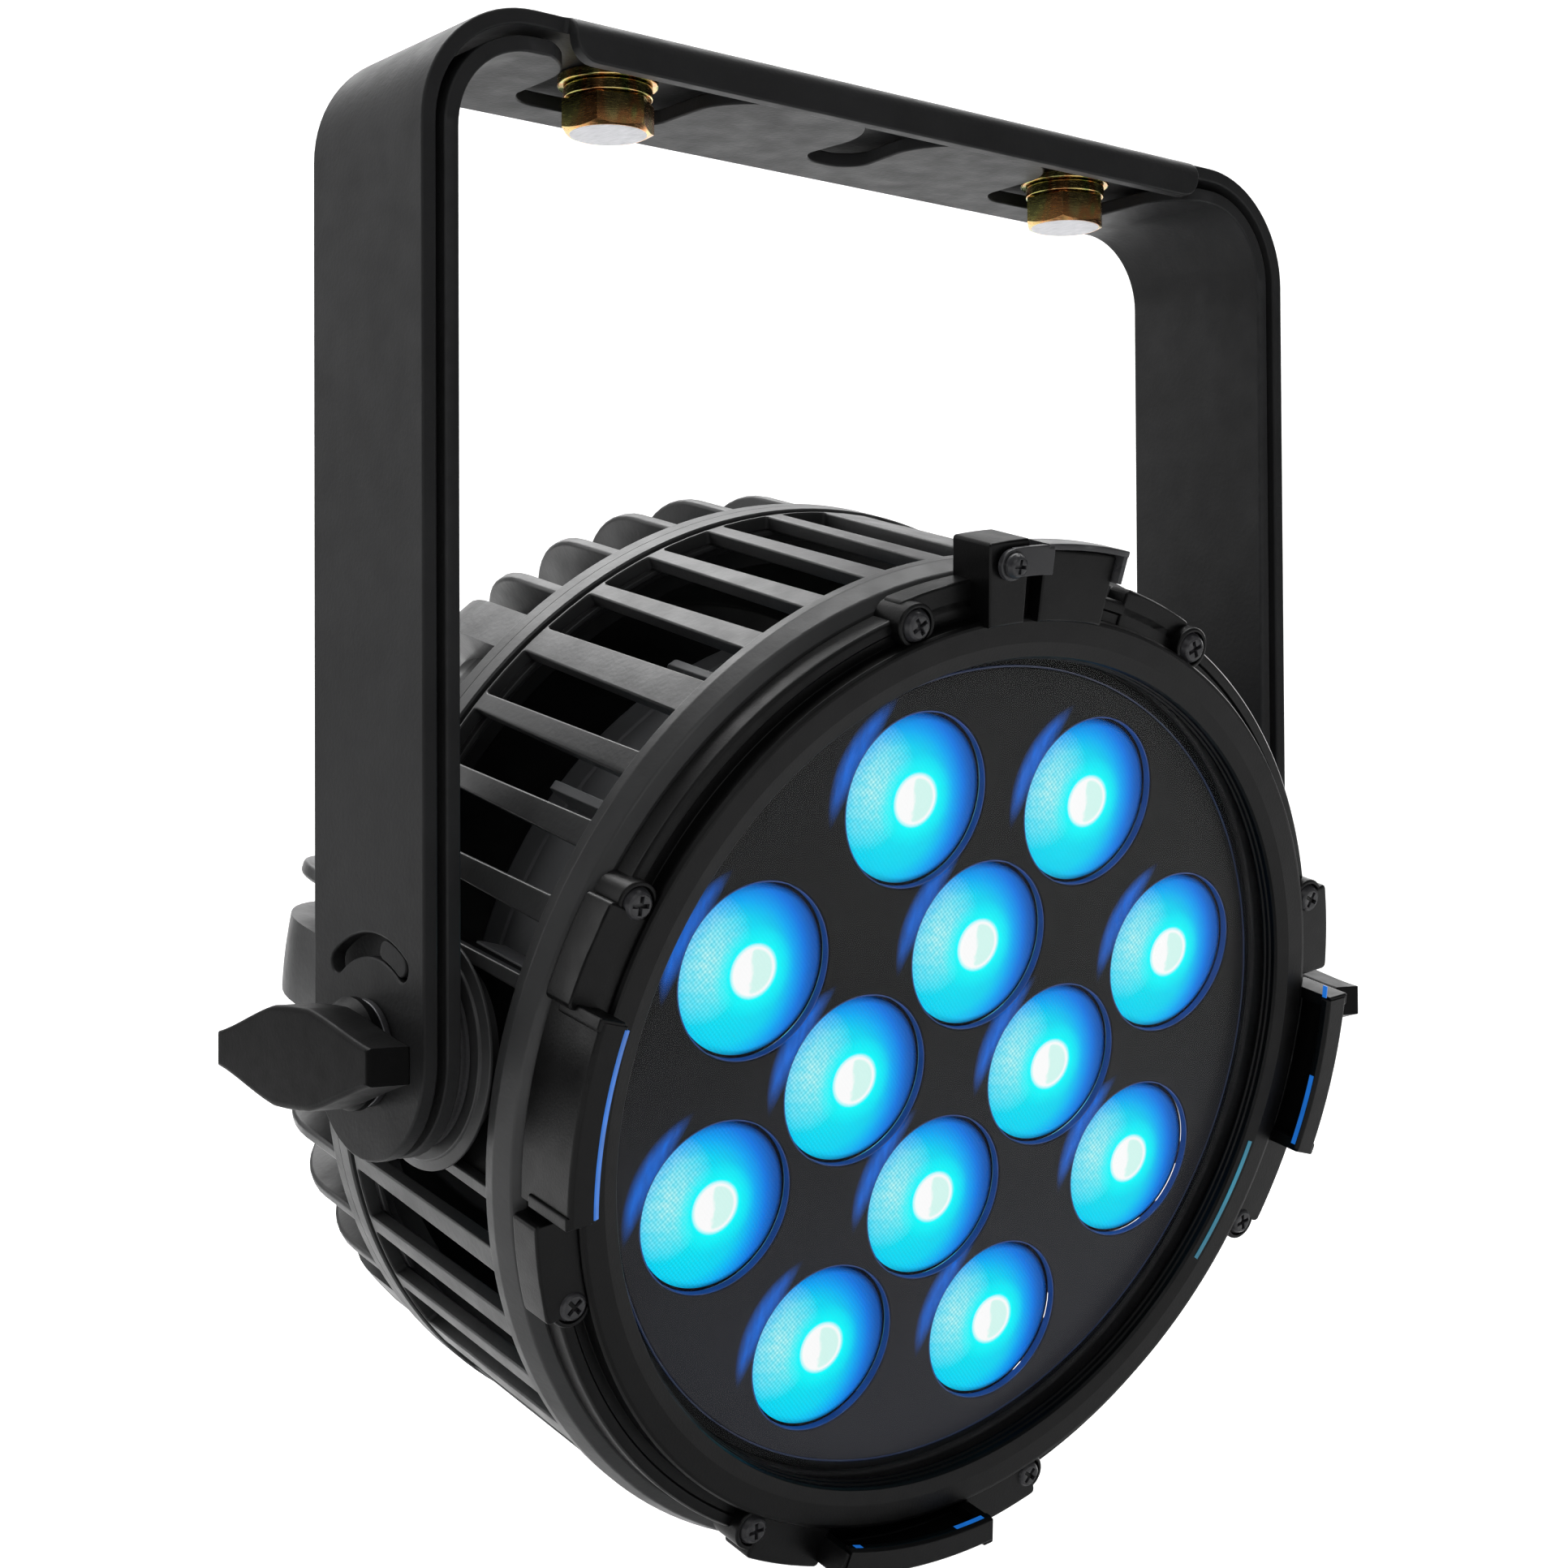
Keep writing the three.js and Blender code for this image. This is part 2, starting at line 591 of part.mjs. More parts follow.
// The latch: a thin strip over the top of the holder, with a tab that is hinged on its screw.
function accessoryLatch() {
  const [x, v] = polar(LATCH_SCREW.radius, LATCH_SCREW.angle);
  const { back, thick, low, inner, outer } = LATCH;
  const [from, to] = LATCH_STRIP;
  const eye = rod(LATCH.eye, back, back + thick).translate(x, v, 0);
  const strip = sector(inner, outer, from, to, low, back + thick);
  const tab = sector(inner - 4.6, outer, LATCH_SCREW.angle, from + 1, back, back + thick, 3);
  const hole = rod(LATCH_SCREW.shank + 0.5, 40, 60).translate(x, v, 0);
  return geometryOf(join([eye, strip, tab]).subtract(solid(hole)));
}

function addHousing() {
  place(head, "main_housing", mainHousing(), BLACK_COAT);
  place(head, "front_bezel", frontBezel(), BLACK_PLASTIC);
  place(head, "front_glass", rod(GLASS.radius, GLASS.back, GLASS.front, ROUND), GLASS_CLEAR);
  const gasket = ring(GLASS.radius, GLASS.radius - 4.5, SEAT + GAP, GLASS.back - GAP, ROUND);
  place(head, "glass_gasket", gasket, RUBBER);
  SCREW_ANGLES.forEach((angle, i) => {
    const [x, v] = polar(SCREW_CIRCLE, angle);
    const { head: radius, shank, height } = SCREW;
    const screw = panScrew(radius, shank, SEAT + GAP, SCREW_SEAT + GAP, height);
    place(head, "bezel_screw_" + (i + 1), screw.translate(x, v, 0), DARK_STEEL);
  });
  place(head, "accessory_latch", accessoryLatch(), DARK_STEEL);
  const [x, v] = polar(LATCH_SCREW.radius, LATCH_SCREW.angle);
  const { head: radius, shank, height } = LATCH_SCREW;
  const latchScrew = panScrew(radius, shank, 42, LATCH.back + LATCH.thick + GAP, height);
  place(head, "latch_screw", latchScrew.translate(x, v, 0), STEEL);
}

// ---- optics ----

// Four lenses near the middle and eight round them, numbered outwards and clockwise.
function lensPlaces() {
  const inner = [0, 90, 180, 270].map((angle) => polar(LENS_RING_INNER, angle));
  const outer = SCREW_ANGLES.map((angle) => polar(LENS_RING_OUTER, angle));
  return [...inner, ...outer];
}

function lens() {
  const profile = [
    [0, LENS_BACK],
    [LENS_BASE_RADIUS, LENS_BACK],
    [LENS_RADIUS, LENS_FRONT - LENS_EDGE],
    [LENS_RADIUS, LENS_FRONT - LENS_DOME],
    [0, LENS_FRONT],
  ];
  return turned(profile, SMALL_ROUND);
}

function lensPlate() {
  const disc = rod(SEAT_RADIUS + 2, PLATE_BACK, PLATE_FRONT, ROUND);
  const holes = lensPlaces().map(([x, v]) => rod(LENS_HOLE, 30, 50, SMALL_ROUND).translate(x, v, 0));
  return geometryOf(cut(disc, holes));
}

function ledBoard() {
  const { radius, back, front, emitter } = BOARD;
  const height = LENS_BACK - GAP - back;
  const middle = back + height / 2;
  const emitters = lensPlaces().map(([x, v]) => box(emitter, emitter, height, x, v, middle));
  return geometryOf(join([rod(radius, back, front, 24), ...emitters]));
}

function heatSink() {
  const base = rod(SINK.radius, SINK.back, SINK.front, 32);
  const middle = SINK.back - SINK.ribDepth / 2 + 0.2;
  const rib = box(2.4, 9, SINK.ribDepth, 0, SINK.radius - 6, middle);
  const ribs = [];
  for (let k = 0; k < SINK.ribs; k++)
    ribs.push(rib.clone().rotateZ(rad((360 / SINK.ribs) * (k + 0.5))));
  return geometryOf(join([base, ...ribs]));
}

function driverHousing() {
  const { outer, inner, back, front, wall } = CAN;
  const floor = back + wall;
  const profile = [[0, back], [outer, back], [outer, front], [inner, front], [inner, floor], [0, floor]];
  return turned(profile, 32);
}

function driverBoard() {
  const { width, height, thick, at } = DRIVER;
  const board = box(width, height, thick, 0, 0, at);
  const coil = rod(13, at, -2, 16).translate(-34, 12, 0);
  const capacitor = rod(8, at, -1, 16).translate(0, 20, 0);
  const chip = box(30, 20, 6, 36, -12, at + 3);
  return geometryOf(join([board, coil, capacitor, chip]));
}

function addOptics() {
  place(head, "lens_plate", lensPlate(), BLACK_PLASTIC);
  lensPlaces().forEach(([x, v], i) => {
    place(head, "lens_" + String(i + 1).padStart(2, "0"), lens().translate(x, v, 0), LENS_LIT);
  });
  place(head, "led_board", ledBoard(), BOARD_WHITE);
  place(head, "heat_sink", heatSink(), ALUMINIUM);
  place(head, "driver_housing", driverHousing(), ALUMINIUM);
  place(head, "driver_board", driverBoard(), BOARD_GREEN);
}

// ---- rear cover ----

function rearCover() {
  const front = BODY_BACK - GAP;
  const bowl = turned(
    [
      [BODY_RADIUS, front],
      [COVER_VALLEY - COVER_WALL, front],
      [COVER_VALLEY - COVER_WALL, VALLEY_BACK],
      [COVER_VALLEY - 22, REAR_FLAT + COVER_WALL],
      [0, REAR_FLAT + COVER_WALL],
      [0, REAR_FLAT],
      [COVER_VALLEY - 20, REAR_FLAT],
      [COVER_VALLEY - 5, VALLEY_BACK - 12],
      [COVER_VALLEY, VALLEY_BACK],
      [COVER_VALLEY, front - COVER_WALL],
      [BODY_RADIUS, front - COVER_WALL],
    ],
    40,
  );
  const fin = finProfile(front - 3);
  const finBody = extrude(fin, FIN_THICKNESS, 3)
    .applyMatrix4(ALONG_BACK_Y)
    .translate(0, FIN_THICKNESS / 2, 0);
  const fins = finAngles().map((angle) => finBody.clone().rotateZ(rad(90 - angle)));
  const points = fin.getPoints(3).map(({ x, y }) => [x, y]);
  let body = join([bowl, ...fins]);
  for (const [middle, half] of padAngles()) {
    const wedge = sector(REAR_FLAT_RADIUS, 150, middle - half, middle + half, FIN_BACK - 2, front, 3);
    body = body.add(solid(turned(points, ROUND)).intersect(solid(wedge)));
  }
  return geometryOf(body);
}

// A fin's outline, radius by height, from the rear cover's flat to its front edge.
function finProfile(front) {
  const fin = new THREE.Shape();
  fin.moveTo(REAR_FLAT_RADIUS, REAR_FLAT + 1);
  fin.lineTo(REAR_FLAT_RADIUS, FIN_BACK);
  fin.lineTo(FIN_RADIUS - FIN_CURVE, FIN_BACK);
  const curveFrom = FIN_BACK + FIN_CURVE;
  fin.absarc(FIN_RADIUS - FIN_CURVE, curveFrom, FIN_CURVE, -Math.PI / 2, 0, false);
  fin.lineTo(FIN_RADIUS, front);
  fin.lineTo(COVER_VALLEY - 1, front);
  fin.lineTo(COVER_VALLEY - 1, VALLEY_BACK);
  fin.lineTo(COVER_VALLEY - 20, REAR_FLAT + 1);
  return fin;
}

function roundedPlate(width, height, corner) {
  const [x, y] = [width / 2, height / 2];
  return outline([
    [-x + corner, -y],
    [x - corner, -y],
    [x, -y + corner, x, -y],
    [x, y - corner],
    [x - corner, y, x, y],
    [-x + corner, y],
    [-x, y - corner, -x, y],
    [-x, -y + corner],
    [-x + corner, -y, -x, -y],
  ]);
}

function controlPanel() {
  const plate = extrude(roundedPlate(PANEL.width, PANEL.height, 5), PANEL.thick);
  const [width, height] = [DISPLAY.width + 2 * GAP, DISPLAY.height + 2 * GAP];
  const window = box(width, height, 2, 0, DISPLAY.v, PANEL.thick);
  const hole = rod(BUTTON.hole, -1, PAST, BUTTON_SIDES);
  const holes = BUTTONS.map(([, x]) => hole.clone().translate(x, BUTTON_V, 0));
  return cut(plate, [window, ...holes]);
}

// A round bulkhead connector: a flange, a threaded barrel and an open socket.
function connector({ barrel, socket, length }) {
  const profile = [
    [0, 0],
    [FLANGE.radius, 0],
    [FLANGE.radius, FLANGE.thick],
    [barrel, FLANGE.thick],
    [barrel, length],
    [socket, length],
    [socket, SOCKET_FLOOR],
    [0, SOCKET_FLOOR],
  ];
  return turned(profile, SMALL_ROUND);
}

function safetyLoop() {
  const arch = outline([[-13, 0], [-9, 0], [-9, 3], [-5, 8, -9, 8], [5, 8], [9, 3, 9, 8], [9, 0]]);
  arch.lineTo(13, 0);
  arch.lineTo(13, 3);
  arch.quadraticCurveTo(13, 12, 5, 12);
  arch.lineTo(-5, 12);
  arch.quadraticCurveTo(-13, 12, -13, 3);
  return extrude(arch, 5, 4).applyMatrix4(ALONG_BACK_Y).translate(0, 2.5, 0);
}

function addRear() {
  place(head, "rear_cover", rearCover(), BLACK_COAT);
  // The back, drawn as seen from behind and set on the flat middle of the rear cover.
  const back = new THREE.Group();
  back.position.z = REAR_FLAT - GAP;
  back.rotation.y = Math.PI;
  head.add(back);
  const panel = geometryOf(controlPanel()).translate(0, PANEL.v, 0);
  place(back, "control_panel", panel, BLACK_PLASTIC);
  const glass = extrude(roundedPlate(DISPLAY.width, DISPLAY.height, 1.5), DISPLAY.thick);
  place(back, "display_window", glass.translate(0, PANEL.v + DISPLAY.v, 2.3), SCREEN);
  for (const [name, x] of BUTTONS) {
    const { radius, back: foot, shoulder, front } = BUTTON;
    const profile = [[0, foot], [radius, foot], [radius, shoulder], [radius - 1, front], [0, front]];
    const cap = turned(profile, BUTTON_SIDES);
    place(back, "button_" + name, cap.translate(x, PANEL.v + BUTTON_V, 0), RUBBER);
  }
  const names = ["power_in", "power_out", "data_in", "data_out"];
  names.forEach((name, i) => {
    const power = i < 2;
    const body = connector(power ? POWER : DATA);
    place(back, name, body.translate(CONNECTOR_ROW[i], CONNECTOR_V, 0), BLACK_PLASTIC);
  });
  const vent = join([rod(8, 0, 3, 6), rod(6, 2, 6, 16)]);
  place(back, "breather_vent", geometryOf(vent).translate(0, VENT_V, 0), BLACK_PLASTIC);
  place(back, "safety_loop", safetyLoop().translate(0, LOOP_V, 0), STEEL);
}

addYoke();
addKnobs();
addHousing();
addOptics();
addRear();

export default light;
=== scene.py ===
# The looks of a hanging par can light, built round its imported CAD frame.
# Blender's units are metres. Sizes here are in millimetres and are scaled when a mesh is made.
from math import cos, pi, radians, sin, tan

import bmesh
import bpy
from mathutils import Matrix, Vector
from mathutils.geometry import tessellate_polygon


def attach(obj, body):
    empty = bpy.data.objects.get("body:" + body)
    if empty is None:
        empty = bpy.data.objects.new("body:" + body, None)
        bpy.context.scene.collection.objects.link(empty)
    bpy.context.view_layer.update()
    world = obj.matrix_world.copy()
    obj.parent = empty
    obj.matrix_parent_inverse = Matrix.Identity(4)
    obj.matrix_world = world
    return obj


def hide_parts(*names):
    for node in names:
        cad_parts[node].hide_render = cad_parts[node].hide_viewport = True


MM = 0.001
PIVOT_DROP = 221  # from the top of the outer strap to the pivot axis
TILT = 15  # degrees that the head faces below the level
HALF_TURN = pi
QUARTER = pi / 2
TURN = 2 * pi


def placed(name, data, at=Matrix()):
    """A new object in the scene."""
    obj = bpy.data.objects.new(name, data)
    obj.matrix_world = at
    bpy.context.scene.collection.objects.link(obj)
    return obj


def camera():
    """A camera in front of the light and to its left, level with the head and looking slightly up."""
    azimuth, elevation, roll = (radians(a) for a in (-38.931, -1.15, -0.294))
    level = cos(elevation)
    back = Vector((sin(azimuth) * level, -cos(azimuth) * level, sin(elevation)))
    across = Vector((cos(azimuth), sin(azimuth), 0))
    above = back.cross(across)
    right = cos(roll) * across + sin(roll) * above
    up = cos(roll) * above - sin(roll) * across
    data = bpy.data.cameras.new("camera")
    data.angle = radians(33.914)
    data.dof.use_dof = False
    data.clip_start = 0.01
    turn = Matrix((right, up, back)).transposed().to_4x4()
    place = Matrix.Translation((-0.407, -0.4777, -0.1757))
    bpy.context.scene.camera = placed("camera", data, place @ turn)


camera()
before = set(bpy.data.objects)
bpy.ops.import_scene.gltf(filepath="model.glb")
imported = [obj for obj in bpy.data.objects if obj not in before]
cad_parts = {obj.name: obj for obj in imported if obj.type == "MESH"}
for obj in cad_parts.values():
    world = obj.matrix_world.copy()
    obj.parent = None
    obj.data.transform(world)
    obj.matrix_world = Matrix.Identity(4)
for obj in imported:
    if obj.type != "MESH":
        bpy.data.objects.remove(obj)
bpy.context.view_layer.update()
HEAD = Matrix.Translation((0, 0, -PIVOT_DROP * MM)) @ Matrix.Rotation(radians(90 + TILT), 4, "X")
BACK = HEAD @ Matrix.Translation((0, 0, -84.3 * MM)) @ Matrix.Rotation(HALF_TURN, 4, "Y")


# ---- materials ----

class Nodes:
    """A material's node tree, with one short call for each kind of node."""

    def __init__(self, name):
        self.material = bpy.data.materials.new(name)
        self.material.use_nodes = True
        self.tree = self.material.node_tree
        self.shader = self.tree.nodes["Principled BSDF"]

    def add(self, kind, **settings):
        node = self.tree.nodes.new(kind)
        for key, value in settings.items():
            setattr(node, key, value)
        return node

    def link(self, out, into):
        self.tree.links.new(out, into)

    def put(self, socket, value):
        """Links a socket, or sets a plain value."""
        if isinstance(value, bpy.types.NodeSocket):
            self.link(value, socket)
        else:
            socket.default_value = value

    def set(self, **values):
        for key, value in values.items():
            self.put(self.shader.inputs[key.replace("_", " ")], value)

    def place(self):
        return self.add("ShaderNodeTexCoord").outputs["Object"]

    def axes(self):
        """The object's own X and Y."""
        split = self.add("ShaderNodeSeparateXYZ")
        self.link(self.place(), split.inputs[0])
        return split.outputs[0], split.outputs[1]

    def math(self, operation, a, b=0.0, clamp=False):
        node = self.add("ShaderNodeMath", operation=operation, use_clamp=clamp)
        self.put(node.inputs[0], a)
        self.put(node.inputs[1], b)
        return node.outputs[0]

    def plus(self, a, b):
        return self.math("ADD", a, b)

    def times(self, a, b, clamp=False):
        return self.math("MULTIPLY", a, b, clamp)

    def length(self, x, y):
        return self.math("SQRT", self.plus(self.times(x, x), self.times(y, y)))

    def noise(self, scale, detail=2.0, stretch=None, distortion=0.0):
        node = self.add("ShaderNodeTexNoise")
        node.inputs["Scale"].default_value = scale
        node.inputs["Detail"].default_value = detail
        node.inputs["Distortion"].default_value = distortion
        place = self.place()
        if stretch:
            mapping = self.add("ShaderNodeMapping")
            mapping.inputs["Scale"].default_value = stretch
            self.link(place, mapping.inputs["Vector"])
            place = mapping.outputs["Vector"]
        self.link(place, node.inputs["Vector"])
        return node.outputs["Fac"]

    def ramp(self, value, stops):
        node = self.add("ShaderNodeValToRGB")
        elements = node.color_ramp.elements
        while len(elements) < len(stops):
            elements.new(0.5)
        for element, (at, colour) in zip(elements, stops):
            element.position = at
            element.color = (*colour, 1)
        self.link(value, node.inputs["Fac"])
        return node.outputs["Color"]

    def mix(self, factor, a, b, kind="MIX"):
        node = self.add("ShaderNodeMix", data_type="RGBA", blend_type=kind)
        self.put(node.inputs["Factor"], factor)
        for socket, value in ((node.inputs["A"], a), (node.inputs["B"], b)):
            self.put(socket, value if isinstance(value, bpy.types.NodeSocket) else (*value, 1))
        return node.outputs["Result"]

    def range(self, value, low, high, to_low, to_high):
        node = self.add("ShaderNodeMapRange")
        self.link(value, node.inputs["Value"])
        for key, number in (("From Min", low), ("From Max", high), ("To Min", to_low), ("To Max", to_high)):
            node.inputs[key].default_value = number
        return node.outputs["Result"]

    def vary(self, noise, low, high):
        """A value that noise moves between two ends."""
        return self.range(noise, 0.3, 0.7, low, high)

    def blend(self, noise, a, b):
        """Two colours, mixed by noise."""
        return self.mix(self.vary(noise, 0, 1), a, b)

    def grey(self, value):
        node = self.add("ShaderNodeCombineColor")
        for socket in node.inputs:
            self.link(value, socket)
        return node.outputs[0]

    def bump(self, height, distance):
        node = self.add("ShaderNodeBump")
        node.inputs["Strength"].default_value = 1.0
        node.inputs["Distance"].default_value = distance
        self.link(height, node.inputs["Height"])
        return node.outputs["Normal"]


def coated(name, colour, rough, grain=900, depth=0.00006, edge_highlight=0.0, ior=1.33):
    """A satin coat over metal: fine orange peel, small changes of gloss, and a painted highlight that
    lightens its edges and corners.
    """
    n = Nodes(name)
    broad = n.noise(34, 3)
    fine = n.noise(grain, 2)
    light = tuple(min(1, c * 1.3 + 0.0005) for c in colour)
    tint = n.mix(n.range(broad, 0.35, 0.7, 0, 1), colour, light)
    # Painted highlight: Pointiness lightens the edges and corners, broken up by noise.
    if edge_highlight:
        edge = n.add("ShaderNodeNewGeometry").outputs["Pointiness"]
        edge_highlight_mask = n.times(n.range(edge, 0.52, 0.6, 0, edge_highlight), n.noise(260, 3), True)
        tint = n.mix(edge_highlight_mask, tint, (0.16, 0.16, 0.165))
    rough_here = n.vary(n.noise(120, 4), rough - 0.05, rough + 0.07)
    n.set(Base_Color=tint, Roughness=rough_here, IOR=ior, Normal=n.bump(fine, depth))
    return n.material


def moulded(name, colour, rough, grain=1600, depth=0.00003, ior=1.28):
    """A moulded plastic: spark-eroded grain and faint flow marks."""
    n = Nodes(name)
    flow = n.noise(22, 2, stretch=(1, 1, 4), distortion=0.6)
    light = tuple(c * 1.3 + 0.0005 for c in colour)
    tint = n.mix(n.range(flow, 0.35, 0.7, 0, 1), colour, light)
    rough_here = n.vary(n.noise(200, 3), rough - 0.04, rough + 0.05)
    n.set(Base_Color=tint, Roughness=rough_here, IOR=ior, Normal=n.bump(n.noise(grain, 2), depth))
    return n.material


def metal(name, colour, rough):
    """Bare metal with turning or brushing marks."""
    n = Nodes(name)
    marks = n.noise(60, 4, stretch=(1, 1, 30))
    dull = tuple(c * 0.75 for c in colour)
    tint = n.blend(marks, dull, colour)
    rough_here = n.vary(marks, rough + 0.08, rough - 0.05)
    n.set(Base_Color=tint, Metallic=1.0, Roughness=rough_here, Normal=n.bump(marks, 0.00003))
    return n.material


def yellow_zinc(name):
    """Yellow-passivated zinc plate: gold that turns to green, copper and violet in soft bands."""
    n = Nodes(name)
    bands = n.noise(85, 2, stretch=(1, 1, 0.35), distortion=1.2)
    tint = n.ramp(
        bands,
        [
            (0.26, (0.05, 0.055, 0.02)),
            (0.38, (0.22, 0.30, 0.09)),
            (0.47, (0.60, 0.46, 0.18)),
            (0.55, (0.58, 0.25, 0.09)),
            (0.63, (0.42, 0.38, 0.12)),
            (0.74, (0.14, 0.19, 0.08)),
        ],
    )
    scratch = n.noise(500, 3, stretch=(1, 1, 12))
    rough_here = n.vary(scratch, 0.16, 0.3)
    n.set(Base_Color=tint, Metallic=1.0, Roughness=rough_here, Normal=n.bump(scratch, 0.00002))
    return n.material


def zinc_face(name):
    """The bolt's flat end: pale brushed zinc, only a little yellow."""
    n = Nodes(name)
    marks = n.noise(300, 3, stretch=(10, 1, 1))
    tint = n.blend(marks, (0.27, 0.27, 0.285), (0.40, 0.40, 0.42))
    n.set(Base_Color=tint, Metallic=0.85, Roughness=n.vary(marks, 0.42, 0.3))
    return n.material


def rubber(name):
    """Matt black rubber."""
    n = Nodes(name)
    colour = (0.012, 0.012, 0.013)
    grain = n.noise(1400, 3)
    tint = n.blend(n.noise(60, 2), colour, tuple(c * 1.7 for c in colour))
    n.set(Base_Color=tint, Roughness=n.vary(grain, 0.68, 0.82), Normal=n.bump(grain, 0.00005))
    return n.material


def clear_glass(name):
    """A thin clear pane that darkens and reflects a little."""
    n = Nodes(name)
    smear = n.noise(24, 3, distortion=1.5)
    n.set(Base_Color=(0.004, 0.005, 0.006, 1), Roughness=n.vary(smear, 0.05, 0.09))
    n.set(Alpha=0.1, IOR=1.45)
    n.material.surface_render_method = "BLENDED"
    return n.material


def lit_lens(name):
    """A lit lens, in its own frame: pale at the left, azure across, deep blue at the rim."""
    n = Nodes(name)
    edge = 19.9 * MM
    x, y = (n.math("DIVIDE", way, edge) for way in n.axes())

    def spread(cx, cy, wide, high):
        """How far a point is from a centre, in an ellipse's own radii."""
        dx = n.math("DIVIDE", n.math("SUBTRACT", x, cx), wide)
        dy = n.math("DIVIDE", n.math("SUBTRACT", y, cy), high)
        return n.length(dx, dy)

    body = n.ramp(
        n.math("DIVIDE", spread(-0.24, -0.12, 1.02, 1.14), 1.3),
        [
            (0.0, (0.0, 1.0, 1.08)),
            (0.48, (0.0, 0.80, 1.08)),
            (0.62, (0.0, 0.46, 1.08)),
            (0.73, (0.002, 0.22, 0.92)),
            (0.84, (0.004, 0.11, 0.50)),
            (0.96, (0.004, 0.04, 0.24)),
        ],
    )
    pitch = TURN / 0.06
    weave = n.times(n.math("SINE", n.times(x, pitch)), n.math("SINE", n.times(y, pitch)))
    grid = n.plus(n.times(weave, 0.5), 0.5)
    radius = spread(0, 0, 1, 1)
    haze = n.range(spread(-0.62, 0.14, 0.56, 0.74), 1.0, 0.1, 0.0, 0.95)
    sparkle = n.range(n.noise(900, 2), 0.35, 0.65, 0.55, 1.0)
    haze = n.times(n.times(haze, sparkle), n.plus(n.times(grid, 0.5), 0.5), True)
    lit = n.mix(haze, body, (0.66, 1.08, 1.04))
    texture = n.plus(n.times(grid, 0.26), 0.8)
    lit = n.mix(1.0, lit, n.grey(texture), "MULTIPLY")
    dark_edge = n.range(radius, 0.90, 0.97, 0.0, 0.97)
    lit = n.mix(n.times(dark_edge, n.range(x, -0.55, 0.2, 0.0, 1.0)), lit, (0.0, 0.004, 0.03))
    halo = n.range(radius, 0.54, 0.34, 0.0, 0.95)
    lit = n.mix(halo, lit, (0.0, 1.05, 1.1))
    ring = n.range(radius, 0.325, 0.27, 0.0, 1.0)
    lit = n.mix(ring, lit, (1.1, 1.1, 1.1))
    uneven = n.plus(x, n.vary(n.noise(300, 1), -0.03, 0.03))
    core = n.times(n.range(radius, 0.265, 0.235, 0.0, 1.0), n.range(uneven, -0.04, 0.0, 0.0, 1.0))
    lit = n.mix(core, lit, (0.74, 1.05, 0.98))
    n.set(Base_Color=(0.001, 0.003, 0.006, 1), Roughness=0.25, IOR=1.08)
    n.set(Emission_Color=lit, Emission_Strength=1.06, Normal=n.bump(grid, 0.00002))
    return n.material


def glowing(name, colour, strength, base=(0.01, 0.02, 0.05)):
    """Painted reflection of the lenses' light: a faint uneven glow on a surface that is no lamp."""
    n = Nodes(name)
    tint = n.blend(n.noise(90, 2), tuple(c * 0.6 for c in colour), colour)
    n.set(Base_Color=(*base, 1), Roughness=0.3, Emission_Strength=strength, Emission_Color=tint)
    return n.material


def lens_plate_material(name, centres):
    """Glossy black, with a painted blue reflection of the lenses beside each lens, and painted light that
    brightens it towards the bottom.
    """
    n = Nodes(name)
    x, y = n.axes()
    total = None
    # Painted reflection: a soft blue crescent on the plate at each lens's left side.
    for cx, cy in centres:
        dx = n.math("SUBTRACT", x, (cx - 2.6) * MM)
        dy = n.math("SUBTRACT", y, (cy + 1.6) * MM)
        near = n.range(n.length(dx, dy), 0.0230, 0.0204, 0.0, 1.0)
        side = n.range(n.plus(dx, n.times(dy, -0.45)), -0.0172, -0.0205, 0.0, 1.0)
        glow = n.times(near, side)
        total = glow if total is None else n.math("MAXIMUM", total, glow)
    reflection_streaks = n.vary(n.noise(900, 2, stretch=(1, 0.25, 1)), 0.65, 1.0)
    total = n.times(total, reflection_streaks)
    # Painted light: the plate's colour and a faint glow grow lighter towards the bottom.
    low = n.range(y, 0.02, -0.09, 0.0, 1.0)
    tint = n.mix(low, (0.0095, 0.0095, 0.0098), (0.024, 0.0245, 0.030))
    n.set(Base_Color=tint, Roughness=n.vary(n.noise(160, 3), 0.34, 0.4), IOR=1.2)
    faint = n.mix(low, (0, 0, 0), (0.012, 0.0123, 0.015))
    n.set(Emission_Color=n.mix(total, faint, (0.0, 0.16, 0.80)), Emission_Strength=1.0)
    return n.material


def board(name, colour, trace):
    """A circuit board's solder mask with traces showing through."""
    n = Nodes(name)
    node = n.add("ShaderNodeTexVoronoi", distance="MANHATTAN", feature="DISTANCE_TO_EDGE")
    node.inputs["Scale"].default_value = 260
    n.link(n.place(), node.inputs["Vector"])
    lines = n.range(node.outputs["Distance"], 0.04, 0.1, 1.0, 0.0)
    n.set(Base_Color=n.mix(lines, colour, trace), Roughness=n.vary(n.noise(200), 0.3, 0.45))
    n.set(Normal=n.bump(lines, 0.00003))
    return n.material


def screen(name):
    """A small unlit dot-matrix window: glossy, with faint pixel cells."""
    n = Nodes(name)
    cell = TURN / (0.6 * MM)
    across, down = (n.math("SINE", n.times(way, cell)) for way in n.axes())
    cells = n.times(n.plus(across, down), 0.25)
    tint = n.mix(n.plus(cells, 0.5), (0.004, 0.01, 0.016), (0.01, 0.024, 0.034))
    n.set(Base_Color=tint, Roughness=n.vary(n.noise(40, 3), 0.06, 0.12))
    return n.material


# ---- meshes ----

def as_mesh(bm, name):
    mesh = bpy.data.meshes.new(name)
    bm.to_mesh(mesh)
    bm.free()
    return mesh


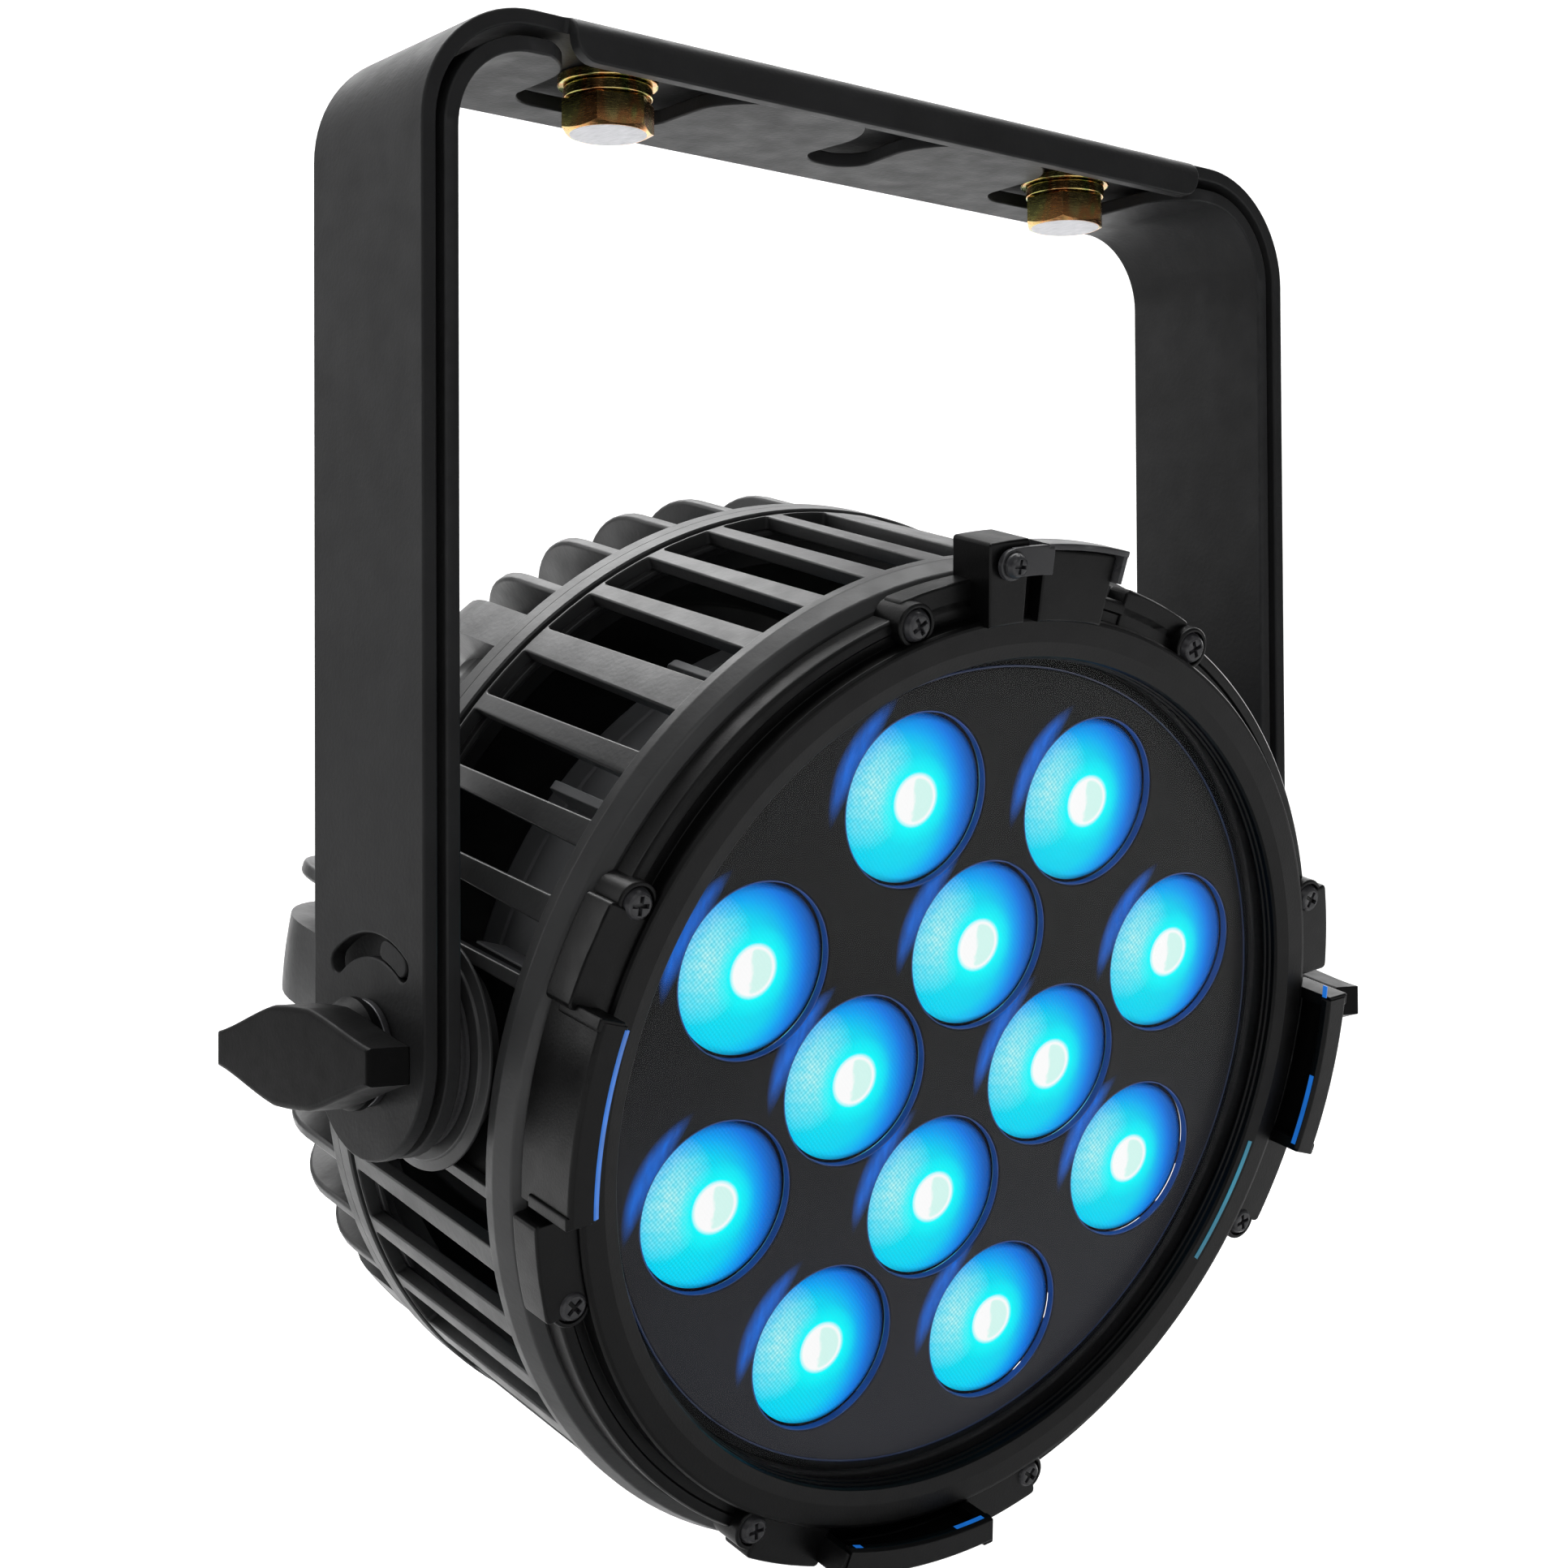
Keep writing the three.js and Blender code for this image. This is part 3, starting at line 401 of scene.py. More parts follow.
def finish(bm, name, material, matrix=Matrix(), sharp=34):
    """A scene object from a bmesh in millimetres."""
    bmesh.ops.remove_doubles(bm, verts=bm.verts, dist=1e-4)
    bmesh.ops.recalc_face_normals(bm, faces=bm.faces)
    limit = radians(sharp)
    for edge in bm.edges:
        edge.smooth = len(edge.link_faces) == 2 and edge.calc_face_angle(4) < limit
    for face in bm.faces:
        face.smooth = True
    bmesh.ops.scale(bm, vec=(MM, MM, MM), verts=bm.verts)
    mesh = as_mesh(bm, name)
    mesh.materials.append(material)
    obj = placed(name, mesh, matrix)
    obj.modifiers.new("normals", "WEIGHTED_NORMAL").keep_sharp = True
    return obj


def join(*parts):
    """One bmesh from several."""
    whole = bmesh.new()
    for part in parts:
        mesh = as_mesh(part, "part")
        whole.from_mesh(mesh)
        bpy.data.meshes.remove(mesh)
    return whole


def moved(bm, x=0.0, y=0.0, z=0.0, turn=0.0):
    bm.transform(Matrix.Translation((x, y, z)) @ Matrix.Rotation(turn, 4, "Z"))
    return bm


def copied(bm, times, step):
    """A bmesh repeated round Z, each step in radians."""
    parts = [moved(bm.copy(), turn=step * k) for k in range(times)]
    bm.free()
    return join(*parts)


def lathe(profile, segments=96, start=0.0, end=TURN):
    """A turned body about Z from closed [radius, height] points."""
    bm = bmesh.new()
    full = abs(end - start - TURN) < 1e-6
    count = segments if full else segments + 1
    rings = []
    for k in range(count):
        angle = start + (end - start) * k / segments
        c, s = cos(angle), sin(angle)
        rings.append([bm.verts.new((r * c, r * s, h)) for r, h in profile])
    for k in range(segments):
        a, b = rings[k], rings[(k + 1) % count]
        for i in range(len(profile)):
            j = (i + 1) % len(profile)
            corners = [a[i], b[i], b[j], a[j]]
            if profile[i][0] < 1e-6 and profile[j][0] < 1e-6:
                continue
            if profile[i][0] < 1e-6:
                corners = [a[i], b[j], a[j]]
            elif profile[j][0] < 1e-6:
                corners = [a[i], b[i], a[j]]
            bm.faces.new(corners)
    if not full:
        bm.faces.new(rings[0])
        bm.faces.new(rings[-1][::-1])
    return bm


def rounded(points, radius, steps=3, closed=True):
    """A polyline with its corners rounded. A point may hold its own radius as a third number."""
    out = []
    count = len(points)
    for i, point in enumerate(points):
        here = Vector(point[:2])
        r = point[2] if len(point) > 2 else radius
        if not closed and i in (0, count - 1) or r <= 0:
            out.append(tuple(here))
            continue
        before = Vector(points[i - 1][:2]) - here
        after = Vector(points[(i + 1) % count][:2]) - here
        if before.length < 1e-6 or after.length < 1e-6:
            continue
        a, b = before.normalized(), after.normalized()
        angle = a.angle(b)
        if angle > HALF_TURN - 0.02:
            out.append(tuple(here))
            continue
        reach = min(r / tan(angle / 2), before.length * 0.49, after.length * 0.49)
        r = reach * tan(angle / 2)
        centre = here + (a + b).normalized() * (r / sin(angle / 2))
        first, last = here + a * reach - centre, here + b * reach - centre
        sweep = first.angle_signed(last)
        for k in range(steps + 1):
            turn = Matrix.Rotation(-sweep * k / steps, 2)
            out.append(tuple(centre + turn @ first))
    return out


def oblong(left, right, low, high):
    """A rectangle's corners, anticlockwise."""
    return [(left, low), (right, low), (right, high), (left, high)]


def turned(points, radius, segments, steps=3):
    """A turned body from a profile, with the profile's corners rounded."""
    return lathe(rounded(points, radius, steps), segments)


def offset(loop, distance):
    """A closed loop moved to its left by a distance."""
    out = []
    count = len(loop)
    for i in range(count):
        before = (Vector(loop[i]) - Vector(loop[i - 1])).normalized()
        after = (Vector(loop[(i + 1) % count]) - Vector(loop[i])).normalized()
        a, b = Vector((-before.y, before.x)), Vector((-after.y, after.x))
        out.append(tuple(Vector(loop[i]) + (a + b) / max(0.35, 1 + a.dot(b)) * distance))
    return out


def slab(loops, thickness, bevel=0.4, steps=3, lower=None):
    """A plate from z = 0 down, its edges rounded. The outline runs anticlockwise, holes clockwise."""
    lower = bevel if lower is None else lower
    bm = bmesh.new()
    turn = [QUARTER * k / steps for k in range(steps + 1)]
    curve = [(1 - sin(a), 1 - cos(a)) for a in turn]
    levels = [(bevel * inset, -bevel * drop) for inset, drop in curve]
    levels += [(lower * inset, -thickness + lower * drop) for inset, drop in reversed(curve)]
    caps = ([], [])
    for loop in loops:
        rings = []
        for inset, z in levels:
            rings.append([bm.verts.new((x, y, z)) for x, y in offset(loop, inset)])
        for upper, under in zip(rings, rings[1:]):
            for i in range(len(loop)):
                j = (i + 1) % len(loop)
                bm.faces.new((upper[i], under[i], under[j], upper[j]))
        caps[0].append(rings[0])
        caps[1].append(rings[-1])
    for cap in caps:
        flat = [vert for ring in cap for vert in ring]
        for triangle in tessellate_polygon([[vert.co for vert in ring] for ring in cap]):
            try:
                bm.faces.new([flat[i] for i in triangle])
            except ValueError:
                pass
    return bm


def sliced(bm, axis, cuts):
    """Cuts a bmesh across an axis, so that it can bend."""
    normal = Vector((axis == "X", axis == "Y", axis == "Z"))
    for at in cuts:
        bmesh.ops.bisect_plane(bm, geom=bm.verts[:] + bm.edges[:] + bm.faces[:], plane_co=normal * at,
                               plane_no=normal, dist=1e-5)
    return bm


def warped(bm, place):
    for vert in bm.verts:
        vert.co = place(*vert.co)
    return bm


def box(width, height, depth, x=0.0, y=0.0, z=0.0, bevel=0.4):
    """A box about its centre with rounded edges."""
    w, h = width / 2, height / 2
    outline = rounded(oblong(-w, w, -h, h), bevel)
    return moved(slab([outline], depth, bevel), x, y, z + depth / 2)


def anticlockwise(loop):
    return sum(a[0] * b[1] - b[0] * a[1] for a, b in zip(loop, loop[1:] + loop[:1])) > 0


def circle(radius, x=0.0, y=0.0, sides=40, hole=False):
    points = []
    for k in range(sides):
        a = TURN * k / sides * (-1 if hole else 1)
        points.append((x + radius * cos(a), y + radius * sin(a)))
    return points


def upright(outline, thick, bevel, steps):
    """A plate that stands on its edge: its outline is in X and Z, and Y runs through its thickness."""
    bm = slab([outline], thick, bevel, steps)
    bm.transform(Matrix.Translation((0, thick / 2, 0)) @ Matrix.Rotation(QUARTER, 4, "X"))
    return bm


def steps_between(start, end, count):
    return [start + (end - start) * k / count for k in range(count + 1)]


def place_all(obj, body, slot, *nodes):
    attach(obj, body)
    if nodes:
        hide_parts(*nodes)
    return obj


def show(bm, name, material, body, slot, *nodes, at=Matrix(), sharp=34):
    """Makes a piece in the scene that moves with its body and stands for some CAD nodes."""
    return place_all(finish(bm, name, material, at, sharp), body, slot, *nodes)


def on_head(bm, name, material, slot, *nodes, sharp=34):
    """A piece of the head, drawn in the head's own directions."""
    return show(bm, name, material, "head", slot, *nodes, at=HEAD, sharp=sharp)


def shift(x, y, z):
    return Matrix.Translation((x * MM, y * MM, z * MM))


# ---- materials in use ----

YOKE = coated("yoke_coat", (0.0145, 0.0146, 0.015), 0.46, edge_highlight=0.1, ior=1.2)
HOUSING = coated("housing_coat", (0.0205, 0.0207, 0.0212), 0.4, grain=700, depth=0.00005, edge_highlight=0.1,
    ior=1.38)
# Painted shade: a darker copy of the housing coat, drawn on the rear shell.
HOUSING_SHADED = coated("housing_coat_painted_darker", (0.012, 0.0122, 0.0126), 0.4, grain=700, depth=0.00005, edge_highlight=0.1, ior=1.38)
BEZEL = moulded("bezel_plastic", (0.0015, 0.0015, 0.0016), 0.36, ior=1.24)
KNOB = moulded("knob_plastic", (0.001, 0.001, 0.0011), 0.45, grain=1100, depth=0.00003, ior=1.15)
PANEL = moulded("panel_plastic", (0.013, 0.013, 0.0135), 0.46)
SOCKET = moulded("connector_plastic", (0.012, 0.012, 0.0125), 0.36)
# Painted shade: near-black drawn on the recessed pivot panels, the lens plate's lower step and the gaps
# round the lenses.
RECESS_SHADE = moulded("painted_recess_shade", (0.0015, 0.0015, 0.0016), 0.45, ior=1.15)
ZINC = yellow_zinc("yellow_zinc")
ZINC_FACE = zinc_face("zinc_face")
DULL_STEEL = metal("dull_steel", (0.09, 0.09, 0.095), 0.45)
STEEL = metal("steel", (0.56, 0.57, 0.59), 0.3)
BLACK_STEEL = coated("black_steel", (0.02, 0.02, 0.022), 0.3, grain=2000, depth=0.00002, edge_highlight=0.5)
CAN_COAT = coated("grey_can", (0.09, 0.092, 0.096), 0.5, grain=600)
RUBBER = rubber("rubber")
GLASS = clear_glass("clear_glass")
LENS = lit_lens("lens_blue")
# Painted reflections of the lenses' blue light on the lens rims, holder edges, bezel rim and the lens
# plate's edge.
RIM_GLOW = glowing("lens_rim_glow", (0.01, 0.12, 0.6), 0.5, (0.001, 0.001, 0.002))
EDGE_GLOW = glowing("edge_glow", (0.01, 0.2, 0.8), 0.8)
CYAN_GLOW = glowing("rim_reflection", (0.01, 0.42, 0.6), 0.45)
FAINT_GLOW = glowing("faint_reflection", (0.012, 0.03, 0.11), 0.6, (0.01, 0.011, 0.013))
BOARD_WHITE = board("board_white", (0.55, 0.57, 0.58), (0.7, 0.71, 0.72))
BOARD_GREEN = board("board_green", (0.012, 0.09, 0.035), (0.03, 0.2, 0.08))
SCREEN = screen("display_plastic")
BRASS = metal("contact_brass", (0.75, 0.55, 0.25), 0.25)

# ---- yoke ----

HALF_FLAT = 106.4  # half the flat of the top bar, the same on both straps
STRAP = 3.5  # both straps' thickness
OUTER_BEND = 28
BOLT_X = 73
PIVOT_HOLE = 5.4
SLOT_RADIUS = 22.8  # from the pivot to the middle of the arc slots
ARM = PIVOT_DROP - OUTER_BEND  # from the end of a bend to the pivot


def bent(radius, top):
    """Folds a flat strap pattern into the U. Across the pattern is X, along the light Y, thickness Z."""
    arc = radius * QUARTER
    centre = top - radius

    def place(x, y, z):
        side = 1 if x >= 0 else -1
        along = abs(x)
        if along <= HALF_FLAT:
            return (x, y, top + z)
        if along <= HALF_FLAT + arc:
            angle = (along - HALF_FLAT) / radius
            reach = radius + z
            return (side * (HALF_FLAT + reach * sin(angle)), y, centre + reach * cos(angle))
        return (side * (HALF_FLAT + radius + z), y, centre - (along - HALF_FLAT - arc))

    return place


def strap_end(at, width, side, steps=22):
    """The round end of an arm in the flat pattern, as seen on one side."""
    points = []
    for k in range(steps + 1):
        a = -QUARTER + HALF_TURN * k / steps
        points.append((side * (at + width / 2 * cos(a)), width / 2 * sin(a) * side))
    return points


def arc_slot(at, side, radius, half, start, end, steps=14, hole=True):
    """A round-ended slot about an arm's pivot, in degrees from straight up, positive to the rear."""
    def point(r, degrees):
        a = radians(degrees)
        return Vector((side * (at - r * cos(a)), r * sin(a)))

    def cap(degrees, sign):
        middle = point(radius, degrees)
        out = (point(radius + half, degrees) - middle).normalized()
        on = (point(radius, degrees + sign) - middle).normalized()
        turns = [HALF_TURN * k / 8 for k in range(1, 8)]
        return [tuple(middle + half * (out * cos(t) + on * sin(t))) for t in turns]

    outer = [tuple(point(radius + half, d)) for d in steps_between(start, end, steps)]
    inner = [tuple(point(radius - half, d)) for d in steps_between(end, start, steps)]
    loop = outer + cap(end, 1) + inner + cap(start, -1)[::-1]
    return loop[::-1] if anticlockwise(loop) == hole else loop


def bend_cuts(radius):
    arc = radius * QUARTER
    cuts = steps_between(HALF_FLAT, HALF_FLAT + arc, 18)
    return [-c for c in cuts] + cuts


def outer_yoke():
    arc = OUTER_BEND * QUARTER
    pivot = HALF_FLAT + arc + ARM
    front, lip_end = -23, 98
    fold_radius = 4.2
    fold = fold_radius * QUARTER
    lip = front + 0.7 - fold - 5.6
    lip_points = rounded(
        [(-lip_end - 4, front), (-lip_end, front, 1.2), (-lip_end, lip, 7), (lip_end, lip, 7),
         (lip_end, front, 1.2), (lip_end + 4, front)], 1.2, 6, closed=False)
    loops = [lip_points + strap_end(pivot, 46, 1) + strap_end(pivot, 46, -1)]
    for side in (-1, 1):
        loops.append(circle(6.4, side * BOLT_X, -2, hole=True))
        loops.append(circle(PIVOT_HOLE, side * pivot, 0, hole=True))
        loops.append(arc_slot(pivot, side, SLOT_RADIUS, 2.5, -38.5, 34))
    bm = slab(loops, STRAP, 0.55, 4)
    sliced(bm, "X", bend_cuts(OUTER_BEND))
    sliced(bm, "Y", [front + 0.7 - fold * k / 7 for k in range(8)])

    def folded(x, y, z):
        start = front + 0.7
        if y >= start or abs(x) > lip_end + 3:
            return (x, y, z)
        along = start - y
        if along <= fold:
            angle = along / fold_radius
            reach = fold_radius + z
            return (x, start - reach * sin(angle), -fold_radius + reach * cos(angle))
        return (x, start - fold_radius - z, -fold_radius - (along - fold))

    bend = bent(OUTER_BEND, 0)
    return warped(bm, lambda x, y, z: bend(*folded(x, y, z)))


def mouth(x, half, neck, flare, rear):
    """One cut-out of the inner strap's top bar, from its left front corner round to its right."""
    points = []
    front, waist = -22.7, -9
    for k in range(9):
        t = k / 8
        points.append((x - flare * (1 - t) ** 2 - neck * (2 * t * (1 - t) + t * t),
                       front * (1 - t) ** 2 - 17 * 2 * t * (1 - t) + waist * t * t))
    for k in range(1, 9):
        a = QUARTER * k / 8
        points.append((x - half + 8 * (1 - cos(a)), rear - 8 + 8 * sin(a)))
    mirror = [(2 * x - px, py) for px, py in reversed(points)]
    return points + mirror


def inner_yoke():
    radius, top, width = 22.3, -5.7, 45.4
    arc = radius * QUARTER
    pivot = HALF_FLAT + arc + ARM
    front = []
    for x, half, neck, flare, rear in ((-BOLT_X, 20, 20, 29, 11), (0, 9.2, 8, 14, 9.5),
                                       (BOLT_X, 20, 20, 29, 11)):
        front += mouth(x, half, neck, flare, rear)
    loops = [front + strap_end(pivot, width, 1) + strap_end(pivot, width, -1)]
    loops += [circle(PIVOT_HOLE, side * pivot, 0, hole=True) for side in (-1, 1)]
    bm = slab(loops, STRAP, 0.5, 3)
    sliced(bm, "X", bend_cuts(radius))
    warped(bm, bent(radius, top))
    parts = [bm]
    for side in (-1, 1):
        flat = arc_slot(PIVOT_DROP, 1, SLOT_RADIUS, 2.2, -36, -18, hole=False)
        stop = slab([flat], 6.0, 0.4)
        warped(stop, lambda x, y, z, s=side: (s * (134.2 + z), y, -x))
        parts.append(stop)
    return join(*parts)


def hex_radius(angle, across):
    sector = pi / 3
    return across / 2 / cos((angle + sector / 2) % sector - sector / 2)


def hanging_bolt():
    """The head's sides, chamfer and shank, and separately its flat end."""
    top, bottom = -9.2, -16.7
    sides, chamfer = 96, 9.0
    side = bmesh.new()
    rings = []
    for k in range(sides):
        a = TURN * k / sides
        wide = hex_radius(a, 19)
        cut = max(0.0, wide - chamfer) * 0.5
        ring = [(8.8, bottom - 0.001), (chamfer, bottom), (wide, bottom + cut), (wide - 0.05, top - 0.35),
                (wide - 0.4, top)]
        rings.append([side.verts.new((r * cos(a), r * sin(a), h)) for r, h in ring])
    for k in range(sides):
        a, b = rings[k], rings[(k + 1) % sides]
        for i in range(4):
            side.faces.new((a[i], b[i], b[i + 1], a[i + 1]))
    side.faces.new([ring[-1] for ring in rings])
    profile = []
    for k in range(10):
        h = 0.2 + 0.58 * k
        profile += [(6.0, h), (5.55, h + 0.29)]
    shank = lathe([(0, top + 0.3), (6.0, top + 0.3)] + profile + [(4.9, 6.0), (0, 6.0)], 48)
    face = lathe([(0, bottom + 0.7), (8.82, bottom + 0.7), (8.82, bottom), (8.4, bottom - 0.12),
        (0, bottom - 0.12)], 72)
    return join(side, shank), face


def ring_profile(outer, inner, low, high, bevel=0.35):
    return rounded(oblong(inner, outer, low, high), bevel, 3)


def yoke_pieces():
    show(outer_yoke(), "yoke_outer_strap", YOKE, "yoke", "yoke_coat", "outer_yoke")
    show(inner_yoke(), "yoke_inner_strap", YOKE, "inner_yoke", "yoke_coat", "inner_yoke")
    for side, x in (("left", -BOLT_X), ("right", BOLT_X)):
        at = shift(x, -2, 0) @ Matrix.Rotation(radians(12), 4, "Z")
        body, face = hanging_bolt()
        show(body, "bolt_" + side, ZINC, "yoke", "yellow_zinc", "hanging_bolt_" + side, at=at, sharp=24)
        show(face, "bolt_face_" + side, ZINC_FACE, "yoke", "yellow_zinc", at=at)
        washer = lathe(ring_profile(11.5, 6.5, -6.0, -3.8), 72)
        show(washer, "washer_" + side, ZINC, "yoke", "yellow_zinc", "bolt_washer_" + side, at=at)
        split = lathe(ring_profile(10.2, 6.4, -8.9, -6.3, 0.3), 64, 0.1, TURN - 0.03)
        show(split, "spring_washer_" + side, ZINC, "yoke", "yellow_zinc", "bolt_spring_washer_" + side,
            at=at)


# ---- wing knobs ----

KNOB_X = 134.4  # the outer face of an arm


def knob():
    """The wings, drawn along X with the thickness up Z, and the hub beneath them."""
    half, tip, middle = 32.5, 3.8, 10.5
    top = []
    for k in range(17):
        t = k / 16
        x = half - (half - 7.5) * t
        ease = t * t * (3 - 2 * t)
        top.append((x, tip + (middle - tip) * (0.72 * t + 0.28 * ease)))
    crown = [(7.5 - 15 * k / 8, middle + 0.25 * sin(HALF_TURN * k / 8)) for k in range(1, 8)]
    upper = top + crown + [(-x, y) for x, y in reversed(top)]
    outline = upper + [(-x, -y) for x, y in upper]
    wings = moved(slab([outline], 10.0, 1.1, 4, 0.9), z=18.5)
    hub = lathe([(0, 2.4), (11.2, 2.4), (12.0, 3.0), (12.0, 4.4), (11.0, 6.2), (9.9, 8.4), (9.6, 9.6),
        (0, 9.6)], 72)
    return join(wings, hub)


def knob_pieces():
    for side, sign in (("left", -1), ("right", 1)):
        at = shift(sign * KNOB_X, 0, -PIVOT_DROP)
        at = at @ Matrix.Rotation(sign * QUARTER, 4, "Y") @ Matrix.Rotation(QUARTER, 4, "Z")
        body = "knob_" + side
        show(knob(), "wing_knob_" + side, KNOB, body, "knob_plastic", "knob_" + side, at=at, sharp=28)
        threads = [(5.0 if k % 2 else 4.55, -24.4 + 0.5 * k) for k in range(45)]
        stud = lathe([(0, -24.6)] + threads + [(4.9, -1.9), (4.9, 14.0), (0, 14.0)], 32)
        show(stud, "stud_" + side, STEEL, body, "steel", "knob_stud_" + side, at=at)
        washer = lathe(ring_profile(11.5, 5.4, 0.3, 2.0), 64)
        show(washer, "knob_washer_ring_" + side, DULL_STEEL, "yoke", "steel", "knob_washer_" + side, at=at)
        ribs = [(21.0, -12.2), (21.0, -11.4), (20.4, -11.1), (20.4, -10.7), (21.0, -10.4), (20.7, -9.55)]
        disc = lathe([(5.4, -12.3), (20.6, -12.3)] + ribs + [(5.4, -9.55)], 96)
        show(disc, "friction_pad_" + side, RUBBER, "head", "rubber", "friction_disc_" + side, at=at)


yoke_pieces()
knob_pieces()


# ---- head housing: across is X, up the face Y, forward Z, all from the pivot axis ----

BODY = 120  # the housing's outer radius
OUTER_ANGLES = [22.5 + 45 * k for k in range(8)]  # the outer lenses; the bezel's screws are beside them


def around(degrees):
    """The lathe's angle for degrees clockwise from the top of the face."""
    return radians(90 - degrees)


def on_face(radius, degrees):
    a = around(degrees)
    return radius * cos(a), radius * sin(a)


LENS_PLACES = [on_face(30.8, a) for a in (0, 90, 180, 270)] + [on_face(70.4, a) for a in OUTER_ANGLES]
SCREW_PLACES = [on_face(113, a + 0.8) for a in OUTER_ANGLES]
LATCH_SCREW = on_face(122.3, -10.4)


def arc_piece(profile, start, end, segments=None):
    """Part of a turned ring between two angles, clockwise from the top."""
    return lathe(profile, segments or max(3, round((end - start) / 1.5)), around(end), around(start))


def sector_slab(inner, outer, start, end, low, high, bevel=0.6, corner=1.0):
    """A plate that covers part of a ring, with its edges rounded."""
    count = max(3, round((end - start) / 1.5))
    outside = [on_face(outer, d) for d in steps_between(end, start, count)]
    inside = [on_face(inner, d) for d in steps_between(start, end, count)]
    outside[0] = (*outside[0], corner)
    outside[-1] = (*outside[-1], corner)
    points = [p if len(p) == 3 else (*p, 0) for p in outside + inside]
    return moved(slab([rounded(points, corner)], high - low, bevel), z=high)


def carved(bm, *cutters):
    """A bmesh with others cut out of it."""
    bmesh.ops.recalc_face_normals(bm, faces=bm.faces)
    tools = join(*cutters)
    bmesh.ops.remove_doubles(tools, verts=tools.verts, dist=1e-5)
    bmesh.ops.recalc_face_normals(tools, faces=tools.faces)
    whole, tool = as_mesh(bm, "whole"), as_mesh(tools, "tool")
    a, b = placed("whole", whole), placed("tool", tool)
    modifier = a.modifiers.new("cut", "BOOLEAN")
    modifier.object, modifier.operation, modifier.solver = b, "DIFFERENCE", "EXACT"
    result = bmesh.new()
    result.from_mesh(a.evaluated_get(bpy.context.evaluated_depsgraph_get()).to_mesh())
    for obj, mesh in ((a, whole), (b, tool)):
        bpy.data.objects.remove(obj)
        bpy.data.meshes.remove(mesh)
    return result


def beside_diagonals(first, count):
    """Angles on both sides of each diagonal, one fewer on the side that faces a pivot."""
    angles = []
    for diagonal in (45, 135, 225, 315):
        side = 1 if diagonal % 180 == 45 else -1
        for k in range(count):
            reach = 5 + 8.45 * (k + first)
            angles.append(diagonal - side * reach)
            if k < count - 1:
                angles.append(diagonal + side * reach)
    return angles


def cage():
    """The ventilated wall: drawn flat with its openings, then wrapped into a cylinder."""
    radius, back, front = 119.4, -34.6, 27.4
    seam = 90
    scale = radians(1) * radius
    loops = [[(-0.25, back), (360 * scale + 0.25, back), (360 * scale + 0.25, front), (-0.25, front)]]
    openings = [((angle - seam) % 360, 3.15, 2.7) for angle in beside_diagonals(0, 5)]
    for angle, wide, narrow in openings + [(180, 10.4, 10.4)]:
        middle, wide, narrow = angle * scale, wide * scale, narrow * scale
        hole = [(middle - wide, -34.0), (middle - narrow, 26.5), (middle + narrow, 26.5),
                (middle + wide, -34.0)]
        loops.append(rounded(hole, 0.9, 3))
    bm = slab(loops, 3.4, 0.5, 3)
    sliced(bm, "X", [k * 2.5 * scale for k in range(1, 144)])

    def wrap(x, y, z):
        a = around(seam + x / scale)
        return ((radius + z) * cos(a), (radius + z) * sin(a), y)

    return warped(bm, wrap)


def front_band():
    """The band between the openings and the bezel."""
    profile = rounded(
        [(116.0, 26.4, 0.2), (119.5, 26.4, 0.3), (BODY, 26.9, 0.3), (BODY, 29.5, 2.0), (118.4, 34.2, 1.5),
         (115.7, 36.0, 0.5), (97.0, 36.0, 0.3), (97.0, 33.0, 0.3), (116.0, 33.0, 0.5)], 0.4, 4)
    return lathe(profile, 192)


def rear_ring():
    profile = rounded([(112.0, -40.1, 0.2), (BODY, -40.1, 0.05), (BODY, -36.3, 0.4), (119.6, -35.9, 0.2),
        (117.6, -35.9, 0.1), (117.6, -34.2, 0.1), (116.0, -34.2, 0.1), (116.0, -32.6, 0.3),
        (114.8, -32.6, 0.3), (114.8, -36.0, 0.3), (112.0, -36.0, 0.3)], 0.2, 3)
    return lathe(profile, 192)


def pivot_panel(side):
    """The flat panel set into the cage at a pivot, with its boss."""
    plate = slab([rounded(oblong(-31.5, 31.5, -22.5, 22.5), 0.5)], 6, 0.4)
    boss = turned([(5.6, -4), (21.0, -4, 0), (21.0, 4.4, 0.3), (26.0, 4.6, 0.3), (26.0, 5.4, 0.3),
        (23.8, 6.1, 0.2), (23.6, 6.8, 0.4), (5.6, 6.8, 0.6)], 0.3, 96, 4)
    turn = Matrix.Rotation(side * QUARTER, 4, "Y")
    plate.transform(Matrix.Translation((side * 115, 0, -3.75)) @ turn)
    boss.transform(Matrix.Translation((side * 115, 0, 0)) @ turn)
    return plate, boss


def housing_pieces():
    on_head(cage(), "housing_cage", HOUSING, "housing_coat", "main_housing")
    on_head(join(front_band(), rear_ring()), "housing_rings", HOUSING, "housing_coat")
    plates, bosses = zip(pivot_panel(-1), pivot_panel(1))
    # Painted shade: the recessed pivot panels are drawn near-black.
    on_head(join(*plates), "pivot_panels", RECESS_SHADE, "housing_coat")
    on_head(join(*bosses), "pivot_bosses", HOUSING, "housing_coat")


# How far each holder's hook reaches before and after its middle, in degrees.
HOOK_REACH = {90: (9.0, 11.5), 180: (11.5, 11.5), 270: (9.8, 11.5)}


